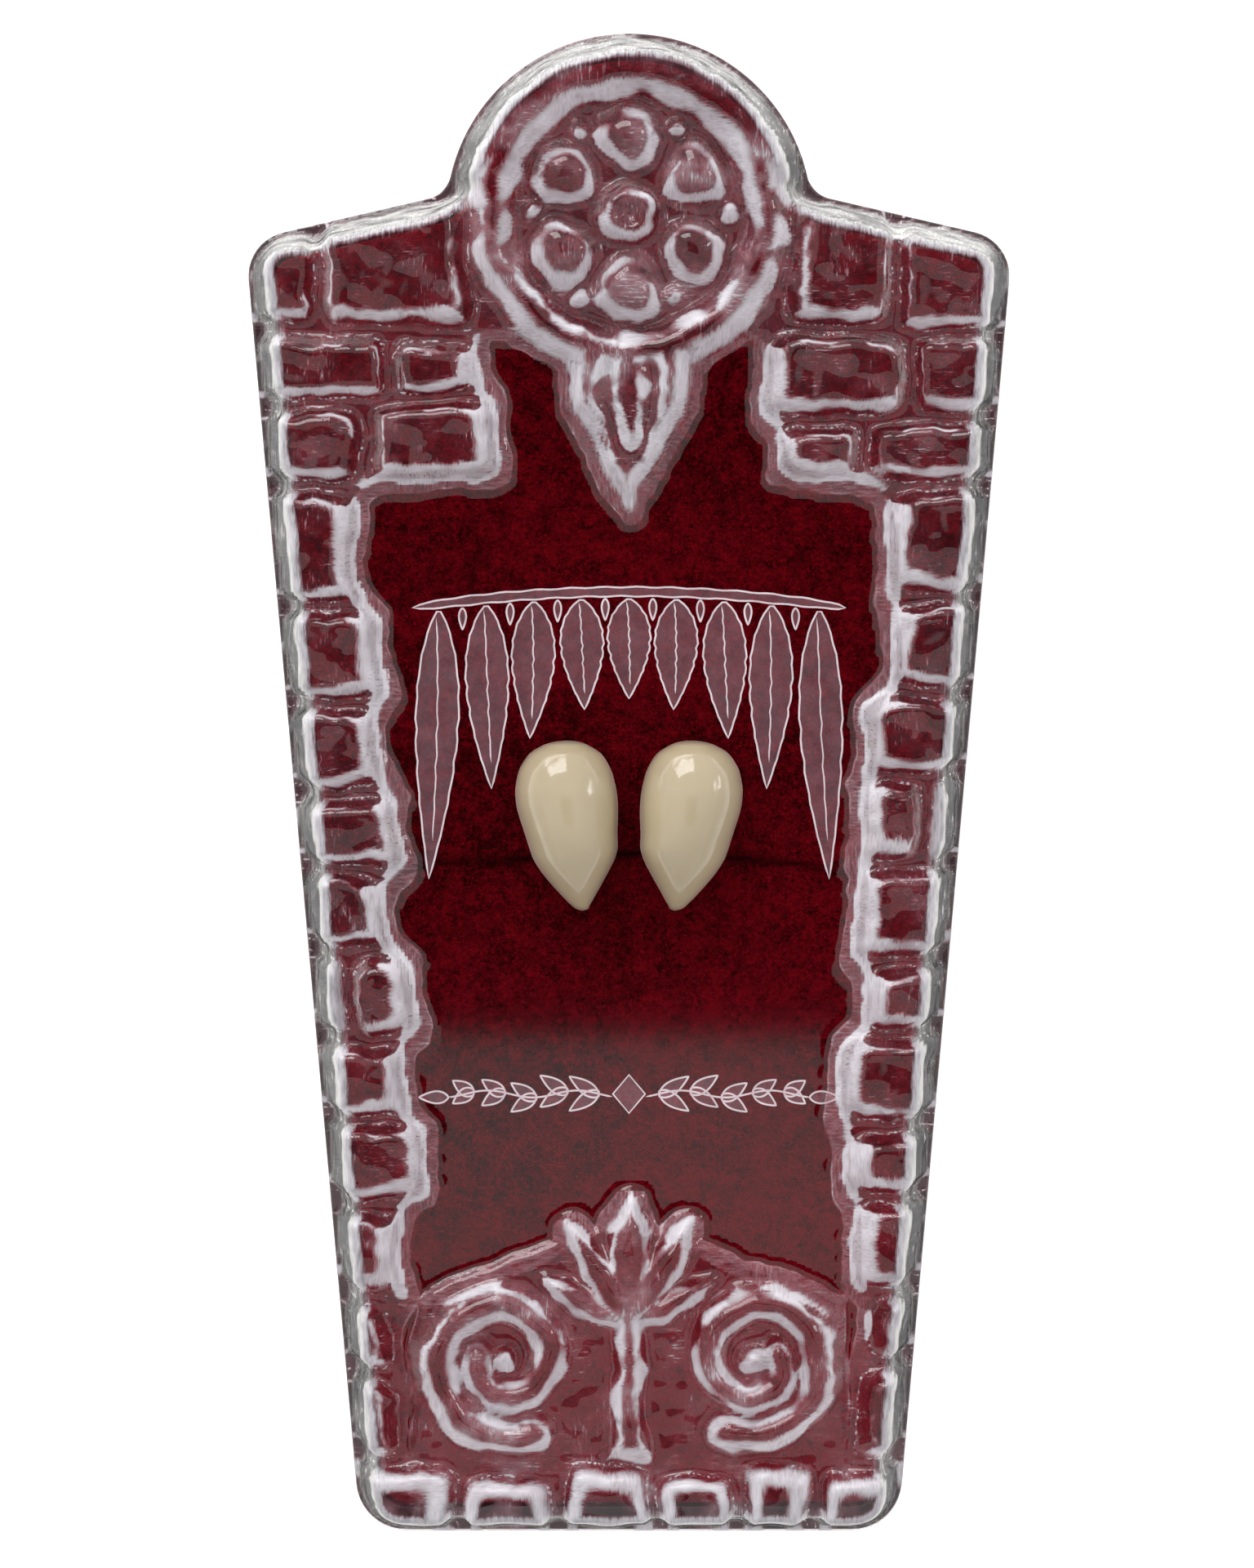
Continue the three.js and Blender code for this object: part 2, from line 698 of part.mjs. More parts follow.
// The socket that a tooth slips into, open at the fang's back.
function fangSocket() {
  const start = fangWall / fangLength;
  const rows = [0, 0.12, 0.35, 0.65, 0.88, 1].map((share) => {
    const row = fangRow(start + (share * socketLength) / fangLength);
    const pinch = Math.sin(Math.PI * lerp(0.16, 0.84, share)) ** 0.3;
    return { ...row, outer: row.outer * pinch, inner: row.inner * pinch, depth: row.depth * pinch };
  });
  const socket = fangLoft(rows, fangWall);
  return socket.translate(0, 0, -0.02);
}

// side is -1 for the fang on the left and 1 for the one on the right.
function fang(side) {
  const body = solid(fangLoft(fangSections, 0)).subtract(solid(fangSocket()));
  return geometryOf(side < 0 ? body : body.mirror([1, 0, 0]));
}

function piece(name, geometry, material) {
  const mesh = new THREE.Mesh(geometry, material);
  mesh.name = name;
  return mesh;
}

const blackPlastic = new THREE.MeshStandardMaterial({ color: 0x161616, roughness: 0.35 });
const clearPlastic = new THREE.MeshStandardMaterial({
  color: 0xd9d6d8,
  roughness: 0.12,
  transparent: true,
  opacity: 0.3,
});
const redVelvet = new THREE.MeshStandardMaterial({ color: 0x4a030c, roughness: 1 });
const ivory = new THREE.MeshStandardMaterial({ color: 0xc7b893, roughness: 0.18 });

const fangCase = new THREE.Group();
fangCase.add(
  piece("case_tray", geometryOf(caseTray()), blackPlastic),
  piece("velvet_bed", geometryOf(velvetBed()), redVelvet),
  piece("case_cover", geometryOf(caseCover()), clearPlastic),
);
for (const [name, side] of [["fang_left", -1], ["fang_right", 1]]) {
  const cap = piece(name, fang(side), ivory);
  cap.position.set((side * (fangWidth + fangGap)) / 2, fangCrown, bedTop + fit);
  cap.rotation.z = side * fangLean;
  fangCase.add(cap);
}

export default fangCase;
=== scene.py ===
import math

import bmesh
import bpy
import numpy as np
from mathutils import Matrix, Vector


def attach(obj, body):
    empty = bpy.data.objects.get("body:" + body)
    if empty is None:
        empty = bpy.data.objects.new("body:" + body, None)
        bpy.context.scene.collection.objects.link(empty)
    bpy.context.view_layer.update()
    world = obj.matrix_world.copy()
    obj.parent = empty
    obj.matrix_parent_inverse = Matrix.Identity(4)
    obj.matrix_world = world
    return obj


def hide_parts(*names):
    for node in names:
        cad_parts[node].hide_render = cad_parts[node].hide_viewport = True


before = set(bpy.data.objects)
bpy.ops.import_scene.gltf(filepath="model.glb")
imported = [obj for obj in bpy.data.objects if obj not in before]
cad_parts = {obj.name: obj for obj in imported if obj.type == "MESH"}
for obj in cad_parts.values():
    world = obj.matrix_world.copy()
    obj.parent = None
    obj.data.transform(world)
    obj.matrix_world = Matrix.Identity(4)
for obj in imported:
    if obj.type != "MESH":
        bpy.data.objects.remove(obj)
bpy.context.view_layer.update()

MM = 0.001

# The case's outline at its flanges
CASE_LENGTH = 150
FOOT_HALF_WIDTH = 27
SHOULDER_HALF_WIDTH = 38.4
SHOULDER_DROP = 20.7
SHOULDER_SLOPE = math.radians(13)
DOME_RADIUS = 18.3
DOME_FILLET = 3
SHOULDER_CORNER_RADIUS = 4.5
FOOT_CORNER_RADIUS = 5

# The tray, the bed and the cover
TRAY_WALL = 1
TRAY_DEPTH = 9
FLANGE_WIDTH = 2.4
TRAY_DRAFT = 1.2
BACK_EDGE = 0.8
BED_PROUD = 0.7
FIT = 0.3
SHEET = 0.8
LIP = 0.45
WINDOW_RISE = 11
MORTAR_RISE = 1
STONE_RISE = 3
COVER_DRAFT = 1.6
NOTCH_DEPTH = 0.8

# The stone border
BORDER_WIDTH = 10.3
JOINT_WIDTH = 1.25
JOINT_SLOPE = (0.55, 1.05)
WINDOW_SLOPE = (1.6, 2.1)
FILLET_WIDTH = 1.25
FOOT_COURSE = 8.3
WIDE_COURSES = 24.3
# How far the outermost stones run on past the outline
OVERRUN = 6

# The rosette, the keystone and the scrollwork
PETAL_COUNT = 6
PETAL_INNER = 3.8
PETAL_OUTER = 10.8
PETAL_WIDTH = 6.8
RIM_FOOT = 11.1
RIM_SLOPE = 2
DRUM_RADIUS = 16.2
BEAD_PLACE = 9.6
BEAD_RADIUS = 1.25
BOSS_RADIUS = 3.3
PANEL_DROP = 10.9
PANEL_MARGIN = 1.3
KEYSTONE_DROP = 11.7
KEYSTONE_LENGTH = 18
KEYSTONE_WIDTH = 13
SCROLL_RADIUS = 7.6
SCROLL_TURNS = 1.35
SCROLL_RIDGE = 2.9
SCROLL_RISE = 18.5
SCROLL_SPREAD = 12.4
PALMETTE_RISE = 22
LEAF_LENGTH = 13.5
LEAF_WIDTH = 4.8
STALK_WIDTH = 4.4

# The marks on the window
LEAF_POINTS = 26
SPRIG_HEIGHT = -30.3
SPRIG_STEP = 3.1
MARK_LIFT = 0.03
LINE_LIFT = 0.05
LINE_WIDTH = 0.18
VEIN_WIDTH = 0.14

# The spacing of the fine grids
COVER_PITCH = 0.36
BED_PITCH = 0.5

# The fangs
FANG_LENGTH = 17
FANG_WIDTH = 10.4
FANG_THICKNESS = 7.4
FANG_GAP = 1.95
FANG_CROWN = 4.35
FANG_WALL = 1
SOCKET_LENGTH = 10.5
FANG_LEAN = math.radians(0.5)

HALF = CASE_LENGTH / 2
FLANGE_TOP = TRAY_DEPTH + TRAY_WALL
COVER_FLANGE = FLANGE_TOP + FIT
LIP_LEVEL = COVER_FLANGE + SHEET
WINDOW = LIP_LEVEL + WINDOW_RISE
MORTAR = WINDOW + MORTAR_RISE
FRONT = MORTAR + STONE_RISE
BED_TOP = FLANGE_TOP + BED_PROUD
DOME = np.array([0, HALF - DOME_RADIUS])
SCROLL_HEIGHT = -HALF + SCROLL_RISE

# Courses of the border: top, reach, split, tilt, as in part.mjs
LEFT_COURSES = (
    (0.088, 0.56, 0, 0.04),
    (0.167, 0.6, 0, -0.05),
    (0.262, 0.72, 0, 0.06),
    (0.352, 1.06, 0, -0.04),
    (0.43, 0.92, 0, 0.07),
    (0.522, 1.06, 0.42, -0.03),
    (0.606, 0.88, 0, -0.06),
    (0.684, 1.08, 0, 0.05),
    (0.776, 0.94, 0, 0.02),
    (0.876, 1.05, 0, -0.07),
    (1, 0.9, 0, 0),
)
RIGHT_COURSES = (
    (0.102, 0.6, 0, -0.05),
    (0.174, 0.54, 0, 0.05),
    (0.27, 0.76, 0, -0.02),
    (0.344, 0.9, 0, 0.06),
    (0.44, 1.05, 0, 0.03),
    (0.513, 0.86, 0, -0.06),
    (0.61, 1.02, 0, 0.05),
    (0.7, 1.04, 0.4, -0.04),
    (0.788, 1.09, 0, 0.02),
    (0.884, 0.9, 0, 0.06),
    (1, 1.04, 0, 0),
)
LEFT_SHOULDER = (
    (0.32, 2.34, 1.04, 0.05),
    (0.63, 2.2, 1.34, -0.05),
    (1.2, 2.24, 0.72, 0),
)
RIGHT_SHOULDER = (
    (0.28, 2.16, 1.3, -0.04),
    (0.6, 2.36, 0.92, 0.05),
    (1.2, 2.24, 1.14, 0),
)
# Stones of the foot's row: end, rise
FOOT_STONES = (
    (0.19, 1),
    (0.37, 0.86),
    (0.55, 1.04),
    (0.7, 0.9),
    (0.84, 1.06),
    (1, 0.95),
)

# Leaves of the palmette: lean in degrees, size, as in part.mjs
PALMETTE_LEAVES = (
    (0, 1),
    (31, 0.92),
    (-31, 0.92),
    (62, 0.75),
    (-62, 0.75),
)

# A fang from its round end to its tip: at, outer, inner, depth, as in part.mjs with rounder ends
FANG_SECTIONS = (
    (0, 0.05, 0.08, 0.12),
    (0.006, 0.26, 0.25, 0.38),
    (0.022, 0.46, 0.41, 0.55),
    (0.035, 0.56, 0.5, 0.6),
    (0.07, 0.73, 0.67, 0.7),
    (0.17, 0.93, 0.86, 0.86),
    (0.29, 1, 0.96, 0.96),
    (0.39, 0.97, 0.99, 0.99),
    (0.475, 0.885, 0.99, 1),
    (0.55, 0.8, 0.975, 0.99),
    (0.626, 0.72, 1, 0.95),
    (0.7, 0.64, 0.93, 0.88),
    (0.778, 0.47, 0.8, 0.77),
    (0.85, 0.27, 0.67, 0.63),
    (0.929, 0.03, 0.53, 0.44),
    (0.972, -0.11, 0.46, 0.31),
    (0.991, -0.2, 0.43, 0.19),
    (1, -0.29, 0.35, 0.07),
)


def unit(v):
    return v / np.linalg.norm(v)


FOOT_CORNER = np.array([FOOT_HALF_WIDTH, -HALF])
SHOULDER_CORNER = np.array([SHOULDER_HALF_WIDTH, HALF - SHOULDER_DROP])
SIDE_ALONG = unit(SHOULDER_CORNER - FOOT_CORNER)
SIDE_OUT = np.array([SIDE_ALONG[1], -SIDE_ALONG[0]])
SHOULDER_ALONG = np.array([-math.cos(SHOULDER_SLOPE), math.sin(SHOULDER_SLOPE)])
SHOULDER_OUT = np.array([math.sin(SHOULDER_SLOPE), math.cos(SHOULDER_SLOPE)])
FOOT_OUT = np.array([0.0, -1.0])


def arc(centre, radius, start, end, steps):
    angle = np.linspace(start, end, steps + 1)
    return np.column_stack([centre[0] + radius * np.cos(angle), centre[1] + radius * np.sin(angle)])


def angle_of(v):
    return math.atan2(v[1], v[0])


def rounded_corner(corner, back, ahead, radius, steps):
    half = math.acos(float(back @ ahead)) / 2
    centre = corner + unit(back + ahead) * radius / math.sin(half)
    reach = radius / math.tan(half)
    first = angle_of(corner + back * reach - centre)
    last = angle_of(corner + ahead * reach - centre)
    turn = (last - first + math.pi) % (2 * math.pi) - math.pi
    return arc(centre, radius, first, first + turn, steps)


def case_outline(by, steps=10):
    """The case's outline, moved inwards by a distance, counter-clockwise from the foot."""
    start = SHOULDER_CORNER + SHOULDER_OUT * DOME_FILLET - DOME
    along = float(start @ SHOULDER_ALONG)
    reach = DOME_RADIUS + DOME_FILLET
    distance = -along - math.sqrt(along * along - float(start @ start) + reach * reach)
    fillet = start + SHOULDER_ALONG * distance + DOME
    meets = angle_of(fillet - DOME)

    def moved(corner, one, other):
        return corner - (one + other) * by / (1 + float(one @ other))

    def rounding(radius):
        return max(radius - by, radius / 8)

    foot = moved(FOOT_CORNER, FOOT_OUT, SIDE_OUT)
    shoulder = moved(SHOULDER_CORNER, SIDE_OUT, SHOULDER_OUT)
    to_left = np.array([-1.0, 0.0])
    right = np.vstack(
        [
            rounded_corner(foot, to_left, SIDE_ALONG, rounding(FOOT_CORNER_RADIUS), steps),
            rounded_corner(
                shoulder, -SIDE_ALONG, SHOULDER_ALONG, rounding(SHOULDER_CORNER_RADIUS), steps
            ),
            arc(fillet, DOME_FILLET + by, angle_of(-SHOULDER_OUT), meets - math.pi, steps),
            arc(DOME, DOME_RADIUS - by, meets, math.pi / 2, steps * 4)[1:],
        ]
    )
    left = right[:-1][::-1] * np.array([-1, 1])
    return np.vstack([right, left])


# Functions on arrays of points. A field is positive inside its form.


def smooth(t):
    t = np.clip(t, 0, 1)
    return t * t * (3 - 2 * t)


def rise(t, bend=1.6):
    """From 0 to 1, steepest at its foot and rounded at its top."""
    return 1 - (1 - np.clip(t, 0, 1)) ** bend


def soft_min(fields, sharpness):
    total = sum(np.exp(-sharpness * f) for f in fields)
    return -np.log(total) / sharpness


def edge_distance(points, x, y):
    """The distance of each place to a closed outline, positive inside it."""
    best = np.full(x.shape, 1e9)
    inside = np.zeros(x.shape, bool)
    for a, b in zip(points, np.roll(points, -1, axis=0)):
        run = b - a
        share = np.clip(((x - a[0]) * run[0] + (y - a[1]) * run[1]) / (run @ run), 0, 1)
        gap = np.hypot(x - a[0] - share * run[0], y - a[1] - share * run[1])
        best = np.minimum(best, gap)
        crosses = (a[1] > y) != (b[1] > y)
        if run[1] != 0:
            inside ^= crosses & (x < a[0] + run[0] * (y - a[1]) / run[1])
    return np.where(inside, best, -best)


def wander(x, y, size, seed):
    """Smooth unevenness between about -1 and 1, made of a few crossing waves."""
    rng = np.random.default_rng(seed)
    total = np.zeros(x.shape)
    for _ in range(9):
        turn = rng.uniform(0, 2 * math.pi)
        length = size * rng.uniform(0.7, 1.5)
        phase = rng.uniform(0, 2 * math.pi)
        total += np.sin((x * math.cos(turn) + y * math.sin(turn)) * 2 * math.pi / length + phase)
    return total / 4.5


def side_at(y):
    share = (y - FOOT_CORNER[1]) / (SHOULDER_CORNER[1] - FOOT_CORNER[1])
    return FOOT_CORNER[0] + (SHOULDER_CORNER[0] - FOOT_CORNER[0]) * share


def course_stones(side, courses, start, end, rng):
    """Four corners of each stone, and the slope's width at each edge."""

    def corner(joint, share):
        y = start + (end - start) * joint[0] + joint[1] * BORDER_WIDTH * (share - 0.5)
        x = side_at(y) - share * BORDER_WIDTH if share else side_at(y) + OVERRUN
        return np.array([side * x, y])

    stones = []
    lower = (0, 0)
    for top, reach, split, tilt in courses:
        upper = (top, tilt)
        parts = [0, split, reach] if split else [0, reach]
        for near, far in zip(parts, parts[1:]):
            corners = [corner(lower, near), corner(upper, near), corner(upper, far), corner(lower, far)]
            slopes = rng.uniform(*JOINT_SLOPE, 4)
            if far == reach:
                slopes[2] = rng.uniform(*WINDOW_SLOPE)
            stones.append((corners, slopes))
        lower = upper
    return stones


def foot_row(rng):
    stones = []
    start = 0
    low = -HALF - OVERRUN
    for end, height in FOOT_STONES:
        a = -FOOT_HALF_WIDTH - OVERRUN if start == 0 else FOOT_HALF_WIDTH * (2 * start - 1)
        b = FOOT_HALF_WIDTH + OVERRUN if end == 1 else FOOT_HALF_WIDTH * (2 * end - 1)
        top = -HALF + FOOT_COURSE * height
        corners = [np.array(p, float) for p in ((a, low), (b, low), (b, top), (a, top))]
        stones.append((corners, rng.uniform(*JOINT_SLOPE, 4)))
        start = end
    return stones


def stone_fields(corners, slopes, x, y):
    """How far inside a stone's edge each place is, and the same in widths of its slope."""
    corners = np.array(corners)
    area = sum(a[0] * b[1] - a[1] * b[0] for a, b in zip(corners, np.roll(corners, -1, axis=0)))
    turn = 1 if area > 0 else -1
    inside = []
    for a, b in zip(corners, np.roll(corners, -1, axis=0)):
        along = unit(b - a)
        inward = np.array([-along[1], along[0]]) * turn
        inside.append((x - a[0]) * inward[0] + (y - a[1]) * inward[1] - JOINT_WIDTH / 2)
    distance = soft_min(inside, 1.3)
    share = soft_min([d / w for d, w in zip(inside, slopes)], 1.8)
    return distance, share


def spiral(side, count=220):
    """The middle line of a scroll, and half its width along it."""
    share = np.linspace(0, 1, count)
    angle = -math.pi * 0.62 + share * SCROLL_TURNS * 2 * math.pi
    radius = SCROLL_RADIUS + (SCROLL_RIDGE * 0.9 - SCROLL_RADIUS) * share
    x = side * (SCROLL_SPREAD + radius * np.cos(angle))
    y = SCROLL_HEIGHT + radius * np.sin(angle)
    return x, y, SCROLL_RIDGE * (1.15 - 0.35 * share) / 2


def scroll_field(side, x, y):
    """How far up a scroll's round ridge each place is: 0 at its foot, 1 on its crest."""
    line_x, line_y, half = spiral(side)
    field = np.full(x.shape, -9.0)
    near = (np.abs(x - side * SCROLL_SPREAD) < 11) & (np.abs(y - SCROLL_HEIGHT) < 11)
    gap = np.hypot(x[near][:, None] - line_x[None, :], y[near][:, None] - line_y[None, :])
    field[near] = np.max(1 - gap / (half[None, :] + 0.6), axis=1)
    return field


def leaf_field(foot, lean, length, width, x, y):
    """How far inside a pointed leaf each place is, in millimetres."""
    dx = x - foot[0]
    dy = y - foot[1]
    along = (-math.sin(lean) * dx + math.cos(lean) * dy) / length
    across = math.cos(lean) * dx + math.sin(lean) * dy
    clipped = np.clip(along, 0, 1)
    half = width / 2 * np.sin(math.pi * clipped**0.8) ** 0.75
    return np.where((along > 0) & (along < 1), half - np.abs(across), -9)


def keystone_field(x, y):
    reach = KEYSTONE_WIDTH / 2
    top = DOME[1] - KEYSTONE_DROP
    points = [
        (0, top - KEYSTONE_LENGTH),
        (reach * 0.42, top - KEYSTONE_LENGTH * 0.72),
        (reach * 0.86, top - KEYSTONE_LENGTH * 0.42),
        (reach, top),
    ]
    points += [(-px, py) for px, py in points[:0:-1]]
    return edge_distance(np.array(points, float), x, y)


def petal_field(index, x, y):
    turn = (index + 0.5) / PETAL_COUNT * 2 * math.pi
    dx = x - DOME[0]
    dy = y - DOME[1]
    along = math.cos(turn) * dx + math.sin(turn) * dy
    across = -math.sin(turn) * dx + math.cos(turn) * dy
    middle = (PETAL_INNER + PETAL_OUTER) / 2
    reach = (PETAL_OUTER - PETAL_INNER) / 2
    half = PETAL_WIDTH / 2 * (np.maximum(along, 0.1) / middle) ** 0.7
    ring = np.hypot((along - middle) / reach, across / half)
    return (1 - ring) * PETAL_WIDTH / 2


def rosette_relief(x, y):
    """A rim round a dish, with petals, beads between them and a boss: its height and its share of slope.

    Both are low outside the rosette.
    """
    radius = np.hypot(x - DOME[0], y - DOME[1])
    turn = np.arctan2(y - DOME[1], x - DOME[0])
    outer = np.maximum((DRUM_RADIUS - radius) / RIM_SLOPE, (y - DOME[1]) / 5)
    share = np.where(radius < DRUM_RADIUS, np.minimum((radius - RIM_FOOT) / RIM_SLOPE, outer), -1)
    height = np.where(radius < DRUM_RADIUS, MORTAR + STONE_RISE * rise(share, 1.3), -9)
    for index in range(PETAL_COUNT):
        inside = petal_field(index, x, y)
        crown = MORTAR + (STONE_RISE - 0.5) * rise(inside / 2.1) + 0.5 * smooth(inside / 3.4)
        height = np.where(inside > 0, np.maximum(height, crown), height)
        share = np.maximum(share, inside / 1.4)
    step = 2 * math.pi / PETAL_COUNT
    bead_turn = np.abs(turn) % step
    bead_turn = np.minimum(bead_turn, step - bead_turn)
    bead = np.hypot(radius * np.cos(bead_turn) - BEAD_PLACE, radius * np.sin(bead_turn))
    bead = 1 - bead / BEAD_RADIUS
    height = np.where(bead > 0, np.maximum(height, MORTAR + 1.7 * rise(bead)), height)
    boss = (BOSS_RADIUS - radius) / 1.4
    crown = MORTAR + STONE_RISE * rise(boss) - 1.2 * smooth((1.5 - radius) / 0.9)
    height = np.where(boss > 0, np.maximum(height, crown), height)
    return height, np.maximum(share, np.maximum(bead, boss))


def head_panel_field(x, y):
    """The panel behind the rosette's lower half."""
    bottom = DOME[1] - PANEL_DROP
    inside = np.minimum(DOME_RADIUS - np.abs(x), np.minimum(y - bottom, DOME[1] - y))
    return inside + PANEL_MARGIN


def dome_field(x, y):
    """How far inside the dome or the rosette each place is, with a margin."""
    radius = np.hypot(x - DOME[0], y - DOME[1])
    dome = np.where(y > DOME[1] - 1, DOME_RADIUS + 2 - radius, -9)
    return np.maximum(dome, DRUM_RADIUS + 1 - radius)


def foot_panel_field(x, y):
    """The panel behind the scrollwork, as wide as the scrolls and up to the palmette."""
    top = SCROLL_HEIGHT + SCROLL_RADIUS + PANEL_MARGIN
    side = SCROLL_SPREAD + SCROLL_RADIUS + PANEL_MARGIN
    points = [
        (-side, -HALF + FOOT_COURSE - 1),
        (side, -HALF + FOOT_COURSE - 1),
        (side, top - 3),
        (side * 0.7, top),
        (0, top + 5),
        (-side * 0.7, top),
        (-side, top - 3),
    ]
    return edge_distance(np.array(points, float), x, y)


def stalk_field(x, y):
    bottom = -HALF + FOOT_COURSE
    top = -HALF + PALMETTE_RISE + LEAF_WIDTH / 2
    share = np.clip((y - bottom) / (top - bottom), 0, 1)
    half = STALK_WIDTH * (0.5 - 0.14 * share)
    return np.minimum(half - np.abs(x), np.minimum(y - bottom, top - y))


def stone_relief(x, y):
    """The stones over the whole cover: their height, how far inside a stone each place is, the same in
    widths of its slope, and how far inside the border that they make together."""
    rng = np.random.default_rng(5)
    shoulder = SHOULDER_CORNER[1]
    side_start = -HALF + FOOT_COURSE
    side_end = shoulder - WIDE_COURSES
    stones = course_stones(-1, LEFT_COURSES, side_start, side_end, rng)
    stones += course_stones(1, RIGHT_COURSES, side_start, side_end, rng)
    stones += course_stones(-1, LEFT_SHOULDER, side_end, shoulder, rng)
    stones += course_stones(1, RIGHT_SHOULDER, side_end, shoulder, rng)
    stones += foot_row(rng)
    uneven = 0.16 * wander(x, y, 4.5, 21)
    height = np.full(x.shape, MORTAR)
    distance = np.full(x.shape, -99.0)
    share = np.full(x.shape, -1.0)
    together = np.full(x.shape, 1e-9)
    for corners, slopes in stones:
        inside, steps = stone_fields(corners, slopes, x, y)
        sink = rng.uniform(0, 0.35)
        lean = rng.uniform(-0.03, 0.03, 2)
        middle = np.mean(corners, axis=0)
        top = FRONT - sink + lean[0] * (x - middle[0]) + lean[1] * (y - middle[1]) + uneven
        height = np.maximum(height, MORTAR + (top - MORTAR) * rise(steps, 1.2))
        distance = np.maximum(distance, inside)
        share = np.maximum(share, steps)
        together += np.exp(0.9 * inside)
    return height, distance, share, np.log(together) / 0.9


def cover_relief(x, y):
    """The cover's height before its side walls cut it, and the fields that its finish follows."""
    wx = x + 0.34 * wander(x, y, 7, 11) + 0.15 * wander(x, y, 2.4, 12)
    wy = y + 0.34 * wander(x, y, 7, 13) + 0.15 * wander(x, y, 2.4, 14)
    tops, stone, stone_share, border = stone_relief(wx, wy)

    keystone = keystone_field(wx, wy)
    drop = leaf_field((0, DOME[1] - KEYSTONE_DROP - 0.4), math.pi, 12, 4.6, wx, wy)
    crown = STONE_RISE * rise(keystone / 2.1) - 0.9 * smooth((drop + 0.7) / 0.7) + 1.3 * rise(drop / 1.6)
    key_share = np.maximum(drop / 1.3, np.minimum(keystone / 1.7, (-0.3 - drop) / 1.2))
    figures = [(key_share, np.minimum(crown, STONE_RISE + 0.1))]
    rim = np.maximum(border, keystone)
    foot = (0, -HALF + PALMETTE_RISE)
    for lean, size in PALMETTE_LEAVES:
        leaf = leaf_field(foot, math.radians(lean), LEAF_LENGTH * size, LEAF_WIDTH * size, wx, wy)
        figures.append((leaf / 1.15, STONE_RISE * rise(leaf / 1.7)))
        rim = np.maximum(rim, leaf)
    stalk = stalk_field(wx, wy) / 1.4
    figures.append((stalk, STONE_RISE * 0.9 * rise(stalk)))
    for side in (-1, 1):
        ridge = scroll_field(side, wx, wy)
        figures.append((ridge * 1.6, STONE_RISE * rise(ridge, 1.7)))
        eye = 1 - np.hypot(wx - side * SCROLL_SPREAD, wy - SCROLL_HEIGHT) / 1.7
        figures.append((eye, 2.3 * rise(eye)))

    rosette, carved = rosette_relief(wx, wy)
    for figure, crown in figures:
        tops = np.maximum(tops, MORTAR + crown)
        carved = np.maximum(carved, figure)
    rim = rim + FILLET_WIDTH + 0.22 * wander(x, y, 9, 22)
    fillet = np.clip(rim / FILLET_WIDTH, 0, 1)
    pad = WINDOW + 0.28 * smooth(fillet / 0.16) + (MORTAR_RISE - 0.28) * fillet**2
    panel = np.maximum(foot_panel_field(wx, wy), head_panel_field(wx, wy))
    pad = np.maximum(pad, WINDOW + MORTAR_RISE * smooth(panel / 0.6 + 0.5))
    height = np.where((rim > 0) | (panel > -0.3), pad, WINDOW)
    height = np.where(tops > MORTAR, np.maximum(height, tops), height)
    return np.maximum(height, rosette), {
        "stone": stone,
        "stone_share": stone_share,
        "carved": carved,
        "border": border,
        "rim": np.maximum(rim, np.maximum(panel + 0.3, dome_field(wx, wy))),
    }


def soften(field, passes):
    field = np.asarray(field, float)
    for _ in range(passes):
        for axis in (0, 1):
            before = np.roll(field, 1, axis)
            after = np.roll(field, -1, axis)
            field = (before + 2 * field + after) / 4
    return field


def painted_slope_highlight(x, y, edge, fields, pitch):
    """How white the painted highlight on each slope is, from 0 to 1, how near the window it is, and how
    far it faces the foot.

    The painted highlight is whitest on slopes to the window, on the foot row and on the carved figures,
    and slopes that face the foot get more of it.
    """
    stone = fields["stone_share"]
    share_y, share_x = np.gradient(soften(stone, 2), pitch)
    size = np.hypot(share_x, share_y) + 1e-6
    to_foot = share_y / size
    carved_y, carved_x = np.gradient(soften(fields["carved"], 2), pitch)
    carved_foot = carved_y / (np.hypot(carved_x, carved_y) + 1e-6)
    window = soften((fields["rim"] < 0) & (edge > 5), 40)
    wide = soften(window, 120)
    wide_y, wide_x = np.gradient(wide, pitch)
    to_window = -(share_x * wide_x + share_y * wide_y) / (size * (np.hypot(wide_x, wide_y) + 1e-6))
    at_shoulder = smooth((y - SHOULDER_CORNER[1] + WIDE_COURSES) / 3)
    downward = smooth((to_foot - 0.3) / 0.5)
    white = 0.27 + 0.06 * at_shoulder + 0.46 * downward + 0.16 * wander(x, y, 6, 51)
    white = white + 0.6 * foot_row_share(y)
    figure = 0.56 + 0.32 * smooth((carved_foot + 0.3) / 0.9) + 0.3 * wander(x, y, 5, 54)
    white = np.where(fields["carved"] > np.maximum(stone, -0.2), figure, white)
    near = smooth((window - 0.03) / 0.07)
    white = np.maximum(white, smooth((wide - 0.05) / 0.06) * smooth((to_window - 0.15) / 0.5))
    return np.clip(np.maximum(white, near), 0.08, 1), near, downward


def foot_row_share(y):
    return smooth((FOOT_COURSE + 0.8 - HALF - y) / 1.2)


